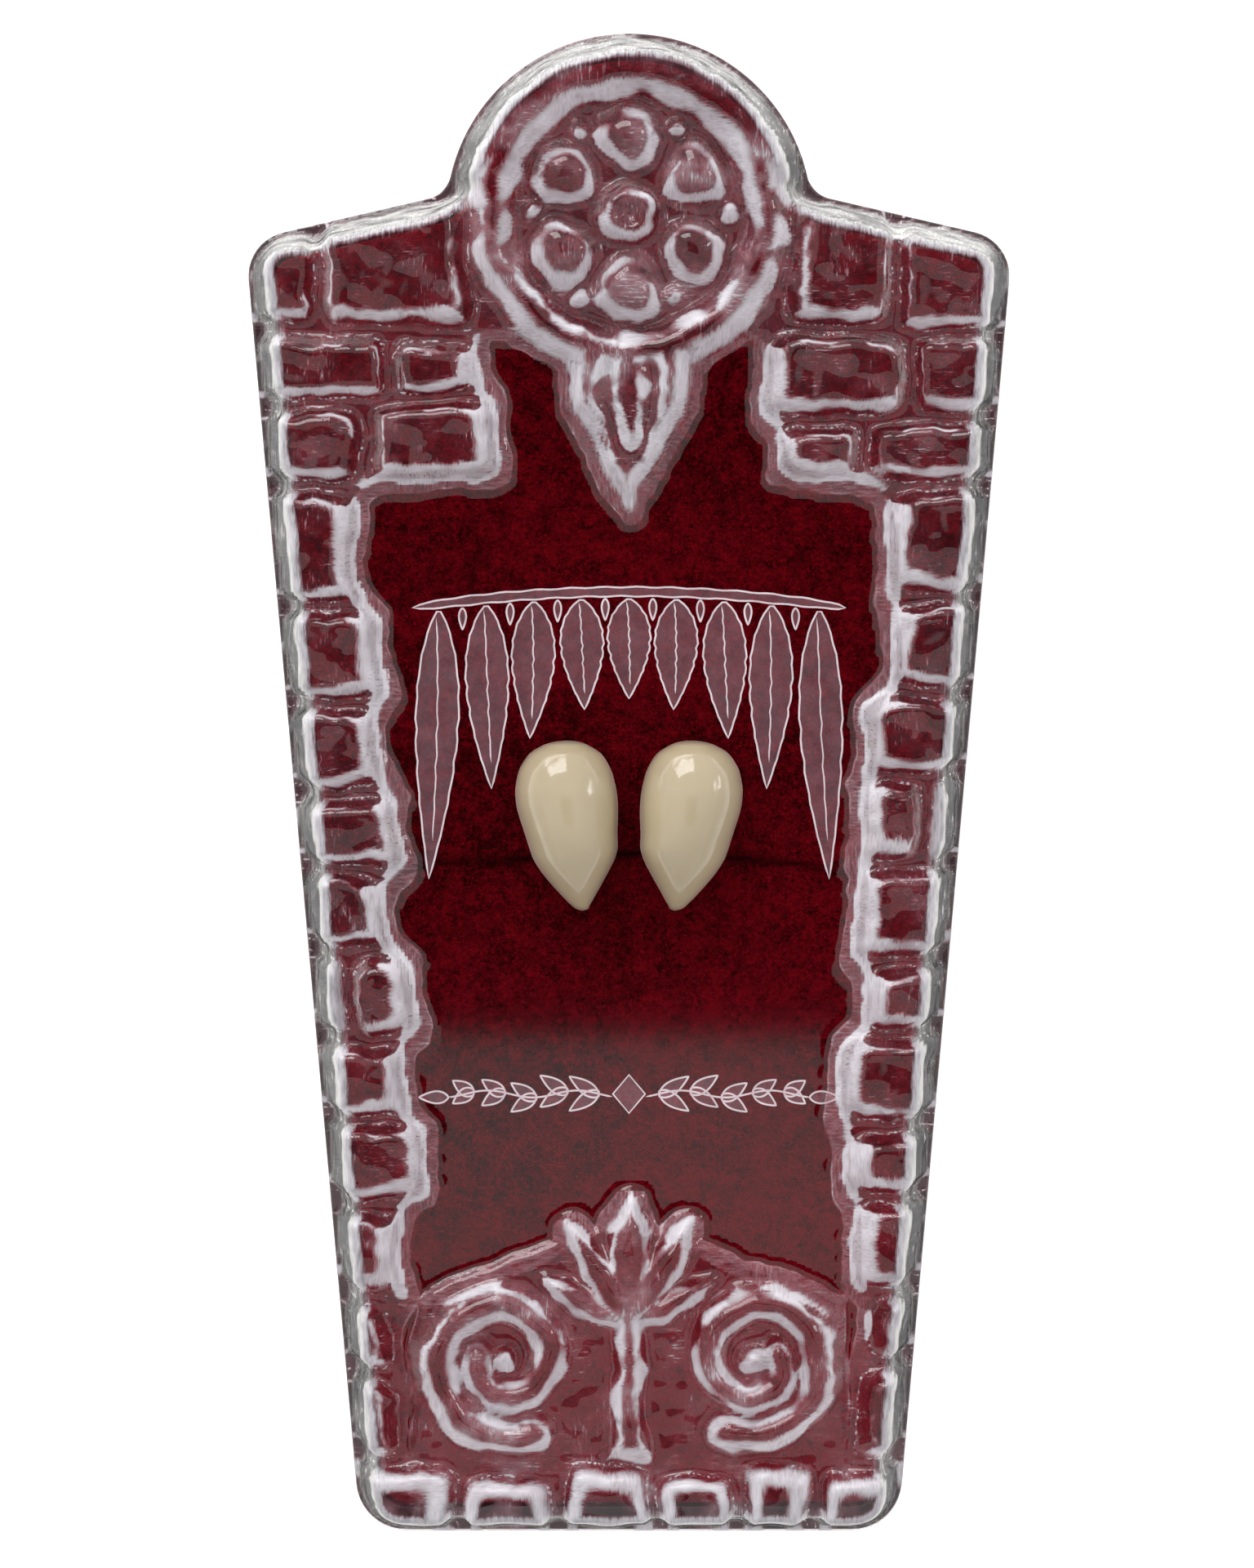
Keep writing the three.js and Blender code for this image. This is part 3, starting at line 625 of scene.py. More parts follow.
def cover_shape(x, y, edge, pitch):
    """The cover's height at each place, and what its finish needs to know there: where its painted
    highlights, painted reflection and painted shade go.
    """
    relief, fields = cover_relief(x, y)
    relief = soften(relief, 1)
    raised = smooth((relief - WINDOW - 0.06) / 0.4)
    relief = relief + raised * (0.016 * wander(x, y, 1.5, 41) + 0.03 * wander(x, y, 3.2, 42))
    in_dome = smooth((y - (SHOULDER_CORNER[1] + 4.5)) / 2) * smooth((19 - np.abs(x)) / 2)
    full = np.maximum(smooth((fields["stone"] + 0.35) / 1.5), in_dome)
    inward = edge - LIP - NOTCH_DEPTH * (1 - full) + 0.14 * wander(x, y, 5, 31)
    wall = LIP_LEVEL + np.maximum(inward, 0) * (MORTAR - LIP_LEVEL) / COVER_DRAFT
    cut = np.where(inward > 0, np.maximum(soft_min([wall, relief], 3.6), LIP_LEVEL), LIP_LEVEL)
    height = np.where(inward > COVER_DRAFT + 2.2, relief, np.minimum(cut, FRONT + 0.2))

    slope = np.hypot(*np.gradient(height, pitch))
    white, near, downward = painted_slope_highlight(x, y, edge, fields, pitch)
    # Where the painted highlight bands lie on the slopes, joined across the joints near the window
    bridge = 0.9 * near * smooth((fields["border"] + 0.35) / 0.4)
    narrow = np.maximum(foot_row_share(y), 0.8 * downward)
    stones = fields["stone_share"] * (1 - 0.45 * narrow - 0.12 * foot_row_share(y))
    share = np.maximum(np.maximum(stones, fields["carved"]), bridge)
    # The side walls' painted grey reflection: stronger on walls that face the head and where the walls
    # are notched, weaker as painted shade on the right side
    to_head = smooth((-np.gradient(edge, pitch)[0] - 0.35) / 0.6)
    shaded_side = np.where(to_head > 0, 0.0, smooth(x / 10 + 0.5))
    wall_reflection = 0.12 - 0.07 * shaded_side + 0.42 * to_head + 0.26 * (1 - full)
    # A painted highlight line along the top of the side walls, fainter low down and on walls that face
    # the head
    crest = inward - COVER_DRAFT
    crest = smooth((crest + 0.3) / 0.3) * smooth((1.7 - crest) / 1.2)
    crest = crest * (0.45 + 0.55 * smooth((relief - MORTAR) / 1.2))
    # Painted broad highlights in soft patches on the carved figures, faint on the stones and strong on
    # the foot row
    broad_highlight = smooth(0.35 + 0.75 * wander(x, y, 10, 71)) * (fields["carved"] > 0.2)
    stone_highlight = 0.16 * smooth(wander(x, y, 7, 72) * 1.2 - 0.1)
    stone_highlight = np.maximum(stone_highlight, 1.3 * foot_row_share(y) * smooth(wander(x, y, 8, 73)))
    return height, {
        "share": np.clip(share, -1, 3),
        "white": white,
        "foot": np.clip(fields["stone"], -3, 3),
        "rim": np.clip(fields["rim"], -3, 3),
        "wall": smooth((slope - 2.9) / 2) * (edge < 6),
        "crest": crest * (1 - 0.3 * to_head),
        "broad_highlight": soften(np.maximum(broad_highlight, stone_highlight), 6),
        "wall_reflection": wall_reflection + 0.05 * wander(x, y, 12, 52),
        "brushed": np.where(edge < 4, 1.0, smooth(wander(x, y, 11, 53) * 9)),
    }


def bed_shape(x, y, edge, pitch):
    """The velvet's height, with a soft edge and the crease that runs behind the fangs."""
    line = -7 - 0.0035 * x * x + 0.25 * wander(x, y, 16, 61)
    crease = np.exp(-(((y - line) / 0.42) ** 2)) * (1 - smooth((np.abs(x) - 23) / 3))
    crease = crease * smooth(0.75 + 0.5 * wander(x, y, 8, 62))
    height = BED_TOP - 0.8 * (1 - rise(edge / 1.3, 2)) + 0.03 * wander(x, y, 9, 63) - 0.03
    return height - 0.3 * crease, {"crease": crease}


# Mesh makers. Points are in millimetres.


def new_object(name, bm, material, smooth_faces=True):
    mesh = bpy.data.meshes.new(name)
    for vert in bm.verts:
        vert.co *= MM
    bm.to_mesh(mesh)
    bm.free()
    for face in mesh.polygons:
        face.use_smooth = smooth_faces
    obj = bpy.data.objects.new(name, mesh)
    bpy.context.scene.collection.objects.link(obj)
    obj.data.materials.append(material)
    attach(obj, "root")
    return obj


def ring_loft(bm, rings):
    """Closed rings of as many points each, joined by faces and capped. A ring is an array of x, y, z."""
    rows = [[bm.verts.new(p) for p in ring] for ring in rings]
    count = len(rows[0])
    for low, high in zip(rows, rows[1:]):
        for i in range(count):
            j = (i + 1) % count
            bm.faces.new((low[i], low[j], high[j], high[i]))
    bm.faces.new(rows[0][::-1])
    bm.faces.new(rows[-1])


def at_height(points, z):
    return np.column_stack([points, np.full(len(points), z)])


def sheet_over(outline, pitch, shape):
    """A fine grid that fills an outline, raised by a shape function, with its rim on the outline.

    The shape function takes the places, their distances from the rim and the pitch. It returns the
    heights and the values to keep at the vertices, by name.
    """
    reach = np.abs(outline).max(axis=0) + 0.4
    across, along = (int(n) for n in 2 * reach / pitch)
    bm = bmesh.new()
    bmesh.ops.create_grid(bm, x_segments=across, y_segments=along, size=0.5)
    place = np.array([v.co[:2] for v in bm.verts]) * (across * pitch, along * pitch)
    order = np.lexsort((np.round(place[:, 0], 4), np.round(place[:, 1], 4)))
    x, y = (place[order, k].reshape(along + 1, across + 1) for k in (0, 1))
    edge = edge_distance(outline, x, y)
    height, kept = shape(x, y, edge, pitch)
    edge_y, edge_x = np.gradient(edge, pitch)
    steep = np.hypot(edge_x, edge_y) + 1e-6
    snap = 0.32 * pitch
    shift = np.where(edge < snap, -edge, 0) / steep
    moved = np.dstack([x + shift * edge_x, y + shift * edge_y, height]).reshape(-1, 3)
    outside = (edge < snap).ravel()
    layers = {name: bm.verts.layers.float.new(name) for name in kept}
    bm.verts.ensure_lookup_table()
    for row, index in enumerate(order):
        vert = bm.verts[index]
        vert.co = moved[row]
        vert.tag = bool(outside[row])
        for name, layer in layers.items():
            vert[layer] = float(kept[name].flat[row])
    beyond = [face for face in bm.faces if all(vert.tag for vert in face.verts)]
    bmesh.ops.delete(bm, geom=beyond, context="FACES")
    bmesh.ops.delete(bm, geom=[v for v in bm.verts if not v.link_faces], context="VERTS")
    return bm


def drop_rim(bm, level, draft=0.0):
    """Walls down from the rim to a level, leaning in by a draft. Returns their lower edges."""
    rim = [edge for edge in bm.edges if len(edge.link_faces) == 1]
    grown = bmesh.ops.extrude_edge_only(bm, edges=rim)["geom"]
    for vert in (item for item in grown if isinstance(item, bmesh.types.BMVert)):
        vert.co.z = level
        if draft:
            vert.co.x -= draft * np.sign(vert.co.x) * min(1, abs(vert.co.x) / 8)
            vert.co.y -= draft * vert.co.y / HALF
    return [item for item in grown if isinstance(item, bmesh.types.BMEdge)]


def build_cover(material):
    bm = sheet_over(case_outline(0), COVER_PITCH, cover_shape)
    drop_rim(bm, COVER_FLANGE)
    bmesh.ops.recalc_face_normals(bm, faces=bm.faces)
    return new_object("clear_cover", bm, material)


def build_tray(material):
    """A formed shell of even wall: each level is a distance in from the outline, and a height."""
    side = FLANGE_WIDTH
    draft = TRAY_DRAFT
    rim = 0.12
    levels = (
        (side + draft + 0.8, TRAY_WALL),
        (side + draft, TRAY_WALL + 0.25),
        (side, FLANGE_TOP - 0.35),
        (side - rim, FLANGE_TOP - 0.08),
        (side - 0.4, FLANGE_TOP),
        (rim, FLANGE_TOP),
        (0, FLANGE_TOP - rim),
        (0, TRAY_DEPTH + rim),
        (rim, TRAY_DEPTH),
        (side - TRAY_WALL - 0.4, TRAY_DEPTH),
        (side - TRAY_WALL, TRAY_DEPTH - 0.3),
        (side + draft - TRAY_WALL, BACK_EDGE),
        (side + draft - TRAY_WALL + 0.22, BACK_EDGE * 0.3),
        (side + draft - TRAY_WALL + BACK_EDGE, 0),
    )
    bm = bmesh.new()
    ring_loft(bm, [at_height(case_outline(by), z) for by, z in levels])
    bmesh.ops.recalc_face_normals(bm, faces=bm.faces)
    tray = new_object("black_tray", bm, material)
    mark_sharp(tray, 40)
    return tray


def mark_sharp(obj, degrees):
    with bpy.context.temp_override(object=obj, active_object=obj, selected_editable_objects=[obj]):
        bpy.ops.object.shade_smooth_by_angle(angle=math.radians(degrees))


def build_bed(material):
    """The velvet over its pad: a fine top that rolls over at its edge, a skirt and a flat back."""
    bm = sheet_over(case_outline(FLANGE_WIDTH + FIT), BED_PITCH, bed_shape)
    bottom = drop_rim(bm, TRAY_WALL + FIT, TRAY_DRAFT)
    bmesh.ops.holes_fill(bm, edges=bottom, sides=0)
    bmesh.ops.recalc_face_normals(bm, faces=bm.faces)
    return new_object("velvet_pad", bm, material)


def fang_rows(shares):
    """The fang's table read at any shares of its length, without kinks."""
    table = np.array(FANG_SECTIONS)
    fine = np.linspace(0, 1, 241)
    middle = (fine > 0.03) & (fine < 0.96)
    columns = []
    for column in (1, 2, 3):
        values = np.interp(fine, table[:, 0], table[:, column])
        eased = values.copy()
        for _ in range(60):
            eased[1:-1] = (eased[:-2] + 2 * eased[1:-1] + eased[2:]) / 4
        share = soften(np.tile(middle, (3, 1)), 20)[1]
        columns.append(np.interp(shares, fine, values + (eased - values) * share))
    return np.column_stack([shares, *columns])


def fang_front(row, shrink, count):
    """Points over a fang's front at one section, from its outer edge to its inner edge."""
    at, outer, inner, depth = row
    left = -outer * FANG_WIDTH / 2 + shrink
    right = inner * FANG_WIDTH / 2 - shrink
    middle = (left + right) / 2
    reach = max((right - left) / 2, 0.02)
    height = max(depth * FANG_THICKNESS - shrink, 0.05)
    edge = min(0.28 * height, FANG_WALL)
    angle = np.linspace(math.pi, 0, count)
    x = middle + reach * np.cos(angle)
    z = edge + (height - edge) * np.sin(angle) ** 0.96
    x = np.concatenate([[left + reach * 0.06], x, [right - reach * 0.06]])
    z = np.concatenate([[0], z, [0]])
    return np.column_stack([x, np.full(len(x), -at * FANG_LENGTH), z])


def build_fang(name, side, material):
    """A hollow cap: its round front, its flat back, and the socket in it."""
    count = 37
    shares = 0.5 - 0.5 * np.cos(np.linspace(0, math.pi, 64))
    outer = [fang_front(row, 0, count) for row in fang_rows(shares)]
    socket = np.linspace(0, 1, 22)
    inner = []
    for share, row in zip(socket, fang_rows((FANG_WALL + socket * SOCKET_LENGTH) / FANG_LENGTH)):
        pinch = math.sin(math.pi * (0.16 + 0.68 * share)) ** 0.3
        inner.append(fang_front(row * (1, pinch, pinch, pinch), FANG_WALL, count))
    bm = bmesh.new()

    def shell(rows, flip):
        grid = [[bm.verts.new(p) for p in row] for row in rows]
        for a, b in zip(grid, grid[1:]):
            for i in range(len(a) - 1):
                quad = (a[i], a[i + 1], b[i + 1], b[i])
                bm.faces.new(quad[::-1] if flip else quad)
        ends = (grid[0][::-1], grid[-1]) if not flip else (grid[0], grid[-1][::-1])
        for end in ends:
            bm.faces.new(end)
        loop = [row[0] for row in grid] + [row[-1] for row in grid[::-1]]
        pairs = zip(loop, loop[1:] + loop[:1])
        return [bm.edges.get(pair) or bm.edges.new(pair) for pair in pairs]

    rim = shell(outer, False) + shell(inner, True)
    bmesh.ops.bridge_loops(bm, edges=rim)
    bmesh.ops.recalc_face_normals(bm, faces=bm.faces)
    turn = Matrix.Rotation(side * FANG_LEAN, 4, "Z")
    if side > 0:
        bmesh.ops.scale(bm, vec=(-1, 1, 1), verts=bm.verts)
        bmesh.ops.reverse_faces(bm, faces=bm.faces)
    bmesh.ops.transform(bm, matrix=turn, verts=bm.verts)
    place = (side * (FANG_WIDTH + FANG_GAP) / 2, FANG_CROWN, BED_TOP + FIT)
    bmesh.ops.translate(bm, vec=place, verts=bm.verts)
    fang = new_object(name, bm, material)
    mark_sharp(fang, 62)
    return fang


# Node helpers


def link(tree, source, target):
    tree.links.new(source, target)


def new_material(name):
    material = bpy.data.materials.new(name)
    material.use_nodes = True
    tree = material.node_tree
    tree.nodes.clear()
    output = tree.nodes.new("ShaderNodeOutputMaterial")
    return material, tree, output


def stretched(tree, scale):
    """Object coordinates, scaled by a different number along each axis."""
    coords = tree.nodes.new("ShaderNodeTexCoord")
    mapping = tree.nodes.new("ShaderNodeMapping")
    mapping.inputs["Scale"].default_value = scale
    link(tree, coords.outputs["Object"], mapping.inputs["Vector"])
    return mapping.outputs["Vector"]


def noise_on(tree, vector, detail, rough):
    texture = tree.nodes.new("ShaderNodeTexNoise")
    texture.inputs["Scale"].default_value = 1
    texture.inputs["Detail"].default_value = detail
    texture.inputs["Roughness"].default_value = rough
    link(tree, vector, texture.inputs["Vector"])
    return texture.outputs["Fac"]


def ramp(tree, value, low, high, eased=False):
    """The values between low and high spread over 0 to 1."""
    spread = tree.nodes.new("ShaderNodeMapRange")
    if eased:
        spread.interpolation_type = "SMOOTHSTEP"
    spread.inputs["From Min"].default_value = low
    spread.inputs["From Max"].default_value = high
    link(tree, value, spread.inputs["Value"])
    return spread.outputs["Result"]


def noise_map(tree, scale, detail, rough, low, high):
    return ramp(tree, noise_on(tree, stretched(tree, scale), detail, rough), low, high)


def maths(tree, operation, one, other=None, clamp=False):
    made = tree.nodes.new("ShaderNodeMath")
    made.operation = operation
    made.use_clamp = clamp
    for socket, value in zip(made.inputs, (one, other)):
        if value is None:
            continue
        if isinstance(value, (int, float)):
            socket.default_value = value
        else:
            link(tree, value, socket)
    return made.outputs["Value"]


def add(tree, first, *others):
    for other in others:
        first = maths(tree, "ADD", first, other)
    return first


def times(tree, first, *others):
    for other in others:
        first = maths(tree, "MULTIPLY", first, other)
    return first


def opposite(tree, value):
    return maths(tree, "SUBTRACT", 1.0, value)


def attribute(tree, name):
    made = tree.nodes.new("ShaderNodeAttribute")
    made.attribute_name = name
    return made.outputs["Fac"]


def mix_colour(tree, share, one, other):
    made = tree.nodes.new("ShaderNodeMix")
    made.data_type = "RGBA"
    link(tree, share, made.inputs["Factor"])
    for socket, value in ((made.inputs["A"], one), (made.inputs["B"], other)):
        if isinstance(value, tuple):
            socket.default_value = (*value, 1)
        else:
            link(tree, value, socket)
    return made.outputs["Result"]


def bump(tree, height, distance):
    made = tree.nodes.new("ShaderNodeBump")
    made.inputs["Distance"].default_value = distance
    link(tree, height, made.inputs["Height"])
    return made.outputs["Normal"]


def along_y(tree, vector):
    parts = tree.nodes.new("ShaderNodeSeparateXYZ")
    link(tree, vector, parts.inputs["Vector"])
    return parts.outputs["Y"]


def thin_line(tree, value, place, outer, inner):
    """1 where a value is within inner of a place, falling to 0 at outer."""
    gap = maths(tree, "ABSOLUTE", maths(tree, "SUBTRACT", value, place))
    return ramp(tree, gap, outer, inner, True)


def shader_of(tree, kind, **sockets):
    """A shader node with its sockets, named with _ for a space, set to a value or fed by a node."""
    made = tree.nodes.new("ShaderNodeBsdf" + kind)
    for name, value in sockets.items():
        socket = made.inputs[name.replace("_", " ")]
        if isinstance(value, bpy.types.NodeSocket):
            link(tree, value, socket)
        else:
            socket.default_value = value
    return made.outputs["BSDF"]


def blend(tree, share, one, other):
    made = tree.nodes.new("ShaderNodeMixShader")
    link(tree, share, made.inputs["Fac"])
    link(tree, one, made.inputs[1])
    link(tree, other, made.inputs[2])
    return made.outputs["Shader"]


def cover_material():
    """Clear thin sheet: see-through with a gloss, with a painted reflection haze on its relief, painted
    white highlights on its slopes and along its wall tops, and a painted grey reflection on its side
    walls.
    """
    material, tree, output = new_material("clear_formed_sheet")
    rim = attribute(tree, "rim")
    foot = attribute(tree, "foot")
    wall = attribute(tree, "wall")
    top_only = opposite(tree, wall)
    white = attribute(tree, "white")
    turned = tree.nodes.new("ShaderNodeMix")
    turned.data_type = "VECTOR"
    link(tree, attribute(tree, "brushed"), turned.inputs["Factor"])
    link(tree, stretched(tree, (800, 4600, 1500)), turned.inputs["A"])
    link(tree, stretched(tree, (4600, 700, 700)), turned.inputs["B"])
    streak = noise_on(tree, turned.outputs["Result"], 2, 0.62)
    patch = noise_on(tree, stretched(tree, (330, 360, 330)), 2, 0.55)
    dots = noise_on(tree, stretched(tree, (2300, 2300, 900)), 1, 0.5)
    ragged = times(tree, maths(tree, "SUBTRACT", streak, 0.5), 0.55)
    on_relief = ramp(tree, rim, 0.0, 0.16, True)

    # The painted white highlight bands on the slopes, and the painted highlight line along the top of
    # the side walls
    plain = attribute(tree, "share")
    share = add(tree, plain, ragged)
    band = ramp(tree, add(tree, plain, times(tree, ragged, 0.3), white), 0.9, 1.26, True)
    band = times(tree, band, ramp(tree, share, 1.22, 0.74, True))
    streaky = times(tree, ramp(tree, streak, 0.34, 0.58), 0.2)
    uneven_highlight = add(tree, 0.58, streaky, times(tree, ramp(tree, patch, 0.3, 0.6), 0.22))
    broken = maths(tree, "MAXIMUM", ramp(tree, white, 0.4, 0.75), ramp(tree, patch, 0.4, 0.56))
    band = times(tree, band, on_relief, top_only, broken, uneven_highlight, 0.97)
    crest = add(tree, attribute(tree, "crest"), ragged)
    line = times(tree, ramp(tree, crest, 0.2, 0.95, True), uneven_highlight, 0.86)

    # The side walls' painted grey reflection, and the relief's painted reflection veil, scuffs with
    # painted glints, painted highlight beads, painted highlight edge line and painted broad highlight
    side = times(tree, attribute(tree, "wall_reflection"), ramp(tree, patch, 0.22, 0.6))
    side = times(tree, wall, add(tree, side, times(tree, ramp(tree, streak, 0.52, 0.72), 0.22)))
    # The painted reflection veil is a little stronger in the valleys and uneven in patches
    top = ramp(tree, share, -0.1, 0.5)
    cloudy = times(tree, ramp(tree, patch, 0.3, 0.7), 0.03)
    valley = times(tree, opposite(tree, top), 0.03)
    reflection_veil = times(tree, on_relief, top_only, add(tree, 0.012, cloudy, valley))
    scuff_glints = times(tree, on_relief, ramp(tree, streak, 0.56, 0.74), ramp(tree, patch, 0.46, 0.64), 0.42)
    # Painted highlight dots along the feet of the stones
    beads = thin_line(tree, foot, -0.16, 0.13, 0.06)
    beads = times(tree, beads, ramp(tree, dots, 0.5, 0.62), ramp(tree, patch, 0.4, 0.55), 0.6)
    # A painted highlight line at the foot of the relief, by the window
    edge = thin_line(tree, rim, 0.16, 0.12, 0.05)
    edge = times(tree, edge, ramp(tree, patch, 0.35, 0.6), 0.22)
    broad_highlight = times(tree, attribute(tree, "broad_highlight"), ramp(tree, patch, 0.28, 0.66), on_relief, top_only)
    broad_highlight = times(tree, broad_highlight, add(tree, 0.3, times(tree, ramp(tree, streak, 0.4, 0.6), 0.18)))
    fog = maths(tree, "MAXIMUM", band, add(tree, side, reflection_veil, scuff_glints, beads, edge, broad_highlight), True)
    fog = maths(tree, "MAXIMUM", fog, line)

    facing = tree.nodes.new("ShaderNodeLayerWeight")
    facing.inputs["Blend"].default_value = 0.5
    grazing = maths(tree, "POWER", facing.outputs["Facing"], 5)
    grazing = times(tree, grazing, maths(tree, "SUBTRACT", 0.8, times(tree, wall, 0.73)))
    mirror = add(tree, 0.042, grazing)
    clear = shader_of(tree, "Transparent", Color=(0.97, 0.96, 0.965, 1))
    gloss = shader_of(tree, "Glossy", Color=(1, 1, 1, 1), Roughness=0.03)
    body = blend(tree, mirror, clear, gloss)
    # The diffuse layer carries the painted highlights, the painted reflection haze and the walls'
    # painted grey reflection: pinkish where thin, pale where strong, grey on the walls
    tint = mix_colour(tree, ramp(tree, fog, 0.08, 0.45), (0.8, 0.28, 0.36), (0.64, 0.615, 0.66))
    tint = mix_colour(tree, wall, tint, (0.6, 0.59, 0.57))
    frosted = shader_of(tree, "Principled", Base_Color=tint, Roughness=0.4)
    link(tree, blend(tree, fog, body, frosted), output.inputs["Surface"])
    return material


def velvet_material():
    material, tree, output = new_material("red_velvet_pile")
    coarse = noise_map(tree, (620, 620, 620), 2, 0.6, 0.36, 0.66)
    fine = noise_map(tree, (2400, 2400, 2400), 2, 0.7, 0.34, 0.68)
    wide = noise_map(tree, (45, 60, 45), 2, 0.5, 0.35, 0.65)
    specks = noise_map(tree, (3600, 3600, 3600), 1, 0.5, 0.57, 0.7)
    pits = noise_map(tree, (1500, 1500, 1500), 2, 0.6, 0.42, 0.3)
    # Painted light: the velvet is made lighter towards the foot
    to_foot = ramp(tree, along_y(tree, stretched(tree, (1, 1, 1))), -0.015, -0.06)
    pile = add(tree, times(tree, coarse, 0.44), times(tree, fine, 0.5), times(tree, wide, 0.24), -0.2)
    pile = add(tree, pile, times(tree, specks, 0.55), times(tree, pits, -0.4))
    pile = add(tree, pile, times(tree, to_foot, 0.33))
    colour = mix_colour(tree, pile, (0.026, 0.0003, 0.0011), (0.165, 0.0014, 0.0062))
    # Painted shade: the velvet's colour darkens along the crease
    colour = mix_colour(tree, attribute(tree, "crease"), colour, (0.008, 0.0002, 0.0008))
    velvet = shader_of(
        tree,
        "Principled",
        Base_Color=colour,
        Roughness=0.95,
        Specular_IOR_Level=0.0,
        Sheen_Weight=0.1,
        Sheen_Roughness=0.45,
        Sheen_Tint=(0.6, 0.05, 0.08, 1),
        Normal=bump(tree, fine, 0.00018),
    )
    link(tree, velvet, output.inputs["Surface"])
    return material


def tray_material():
    material, tree, output = new_material("black_formed_plastic")
    patch = noise_map(tree, (180, 180, 180), 3, 0.6, 0.35, 0.65)
    scratch = noise_map(tree, (700, 4200, 1500), 3, 0.6, 0.5, 0.75)
    plastic = shader_of(
        tree,
        "Principled",
        Base_Color=mix_colour(tree, patch, (0.006, 0.006, 0.006), (0.013, 0.012, 0.013)),
        Roughness=add(tree, 0.2, times(tree, patch, 0.12), times(tree, scratch, 0.15)),
        Normal=bump(tree, patch, 0.00005),
    )
    link(tree, plastic, output.inputs["Surface"])
    return material


def fang_material():
    material, tree, output = new_material("ivory_acrylic")
    cloud = noise_map(tree, (160, 110, 160), 2, 0.5, 0.35, 0.65)
    grain = noise_map(tree, (900, 500, 900), 2, 0.5, 0.35, 0.65)
    warm = mix_colour(tree, cloud, (0.54, 0.462, 0.302), (0.57, 0.49, 0.322))
    colour = mix_colour(tree, times(tree, grain, 0.2), warm, (0.6, 0.515, 0.35))
    acrylic = shader_of(
        tree,
        "Principled",
        Base_Color=colour,
        Roughness=0.13,
        Sheen_Weight=0.7,
        Sheen_Roughness=0.25,
        Sheen_Tint=(1.0, 0.72, 0.68, 1),
        Subsurface_Weight=0.12,
        Subsurface_Radius=(1.0, 0.7, 0.4),
        Subsurface_Scale=0.0012,
        Coat_Weight=0.45,
        Coat_Roughness=0.05,
        Normal=bump(tree, grain, 0.000006),
    )
    link(tree, acrylic, output.inputs["Surface"])
    return material


def etched_material(name, colour, low, high):
    """A frosted mark on the clear sheet, uneven in how much of it shows."""
    material, tree, output = new_material(name)
    patch = noise_map(tree, (500, 500, 500), 3, 0.6, 0.3, 0.7)
    fog = add(tree, low, times(tree, patch, high - low))
    clear = shader_of(tree, "Transparent")
    frosted = shader_of(tree, "Principled", Base_Color=(*colour, 1), Roughness=0.6)
    link(tree, blend(tree, fog, clear, frosted), output.inputs["Surface"])
    return material


# The marks etched on the window: a fringe of hanging leaves over the fangs, and a sprig below them.


def leaf_outline(foot, turn, length, width, sway=0.0, teeth=0):
    """A pointed leaf from its foot, growing along the direction turn, with a bent middle line."""
    along = np.linspace(0, 1, LEAF_POINTS)
    half = width / 2 * np.sin(math.pi * along**0.72) ** 0.9
    half[-1] = 0
    half[0] = width * 0.05
    if teeth:
        half = half * (1 + 0.1 * np.abs(np.sin(along * math.pi * teeth)))
    bend = sway * along**2
    right = np.column_stack([bend + half, along * length])
    left = np.column_stack([bend - half, along * length])[::-1][1:]
    points = np.vstack([right, left])
    c, s = math.cos(turn), math.sin(turn)
    return points @ np.array([[c, s], [-s, c]]) + np.array(foot)


def offset_outline(points, by):
    before = points - np.roll(points, 1, axis=0)
    after = np.roll(points, -1, axis=0) - points
    normal = np.column_stack([-(before + after)[:, 1], (before + after)[:, 0]])
    normal /= np.maximum(np.linalg.norm(normal, axis=1, keepdims=True), 1e-9)
    return points + normal * by


def add_fill(bm, points, z):
    face = bm.faces.new([bm.verts.new((p[0], p[1], z)) for p in points])
    bmesh.ops.triangulate(bm, faces=[face])


def add_line(bm, points, width, z, closed=True):
    inner = offset_outline(points, width / 2)
    outer = offset_outline(points, -width / 2)
    if not closed:
        inner[0], outer[0] = points[0], points[0]
        inner[-1], outer[-1] = points[-1], points[-1]
    a = [bm.verts.new((p[0], p[1], z)) for p in inner]
    b = [bm.verts.new((p[0], p[1], z)) for p in outer]
    count = len(points) if closed else len(points) - 1
    for i in range(count):
        j = (i + 1) % len(points)
        bm.faces.new((a[i], b[i], b[j], a[j]))


def fringe_top(x):
    return 19.4 - 0.0035 * x * x


def stem_band(side_reach, width):
    """A curved band along the fringe's top, pointed at both ends."""
    x = np.linspace(-side_reach, side_reach, 61)
    half = width / 2 * np.sqrt(np.clip(1 - (x / side_reach) ** 8, 0, 1))
    half = half * (1 + 0.12 * np.sin(x * 1.9))
    above = np.column_stack([x, fringe_top(x) + half])
    below = np.column_stack([x, fringe_top(x) - half])[::-1][1:-1]
    return np.vstack([above, below])[::-1]


def fringe_leaves():
    """The long leaves that hang from the stem, longest at its ends, and the buds between them."""
    leaves = []
    hung = ((0, 9.8, 0), (4.7, 10.8, 0.3), (9.4, 13.4, -0.4), (14.1, 18, 0.5), (18.8, 26.4, -1))
    for x, length, sway in hung:
        for side in (-1, 1) if x else (1,):
            foot = (side * x, fringe_top(x) - 0.75)
            leaves.append(leaf_outline(foot, math.pi, length, 3.95, side * sway, 9))
    buds = []
    for x in (2.35, 7.05, 11.75, 16.45):
        for side in (-1, 1):
            buds.append(leaf_outline((side * x, fringe_top(x) - 0.7), math.pi, 2.1, 0.7))
    return leaves, buds


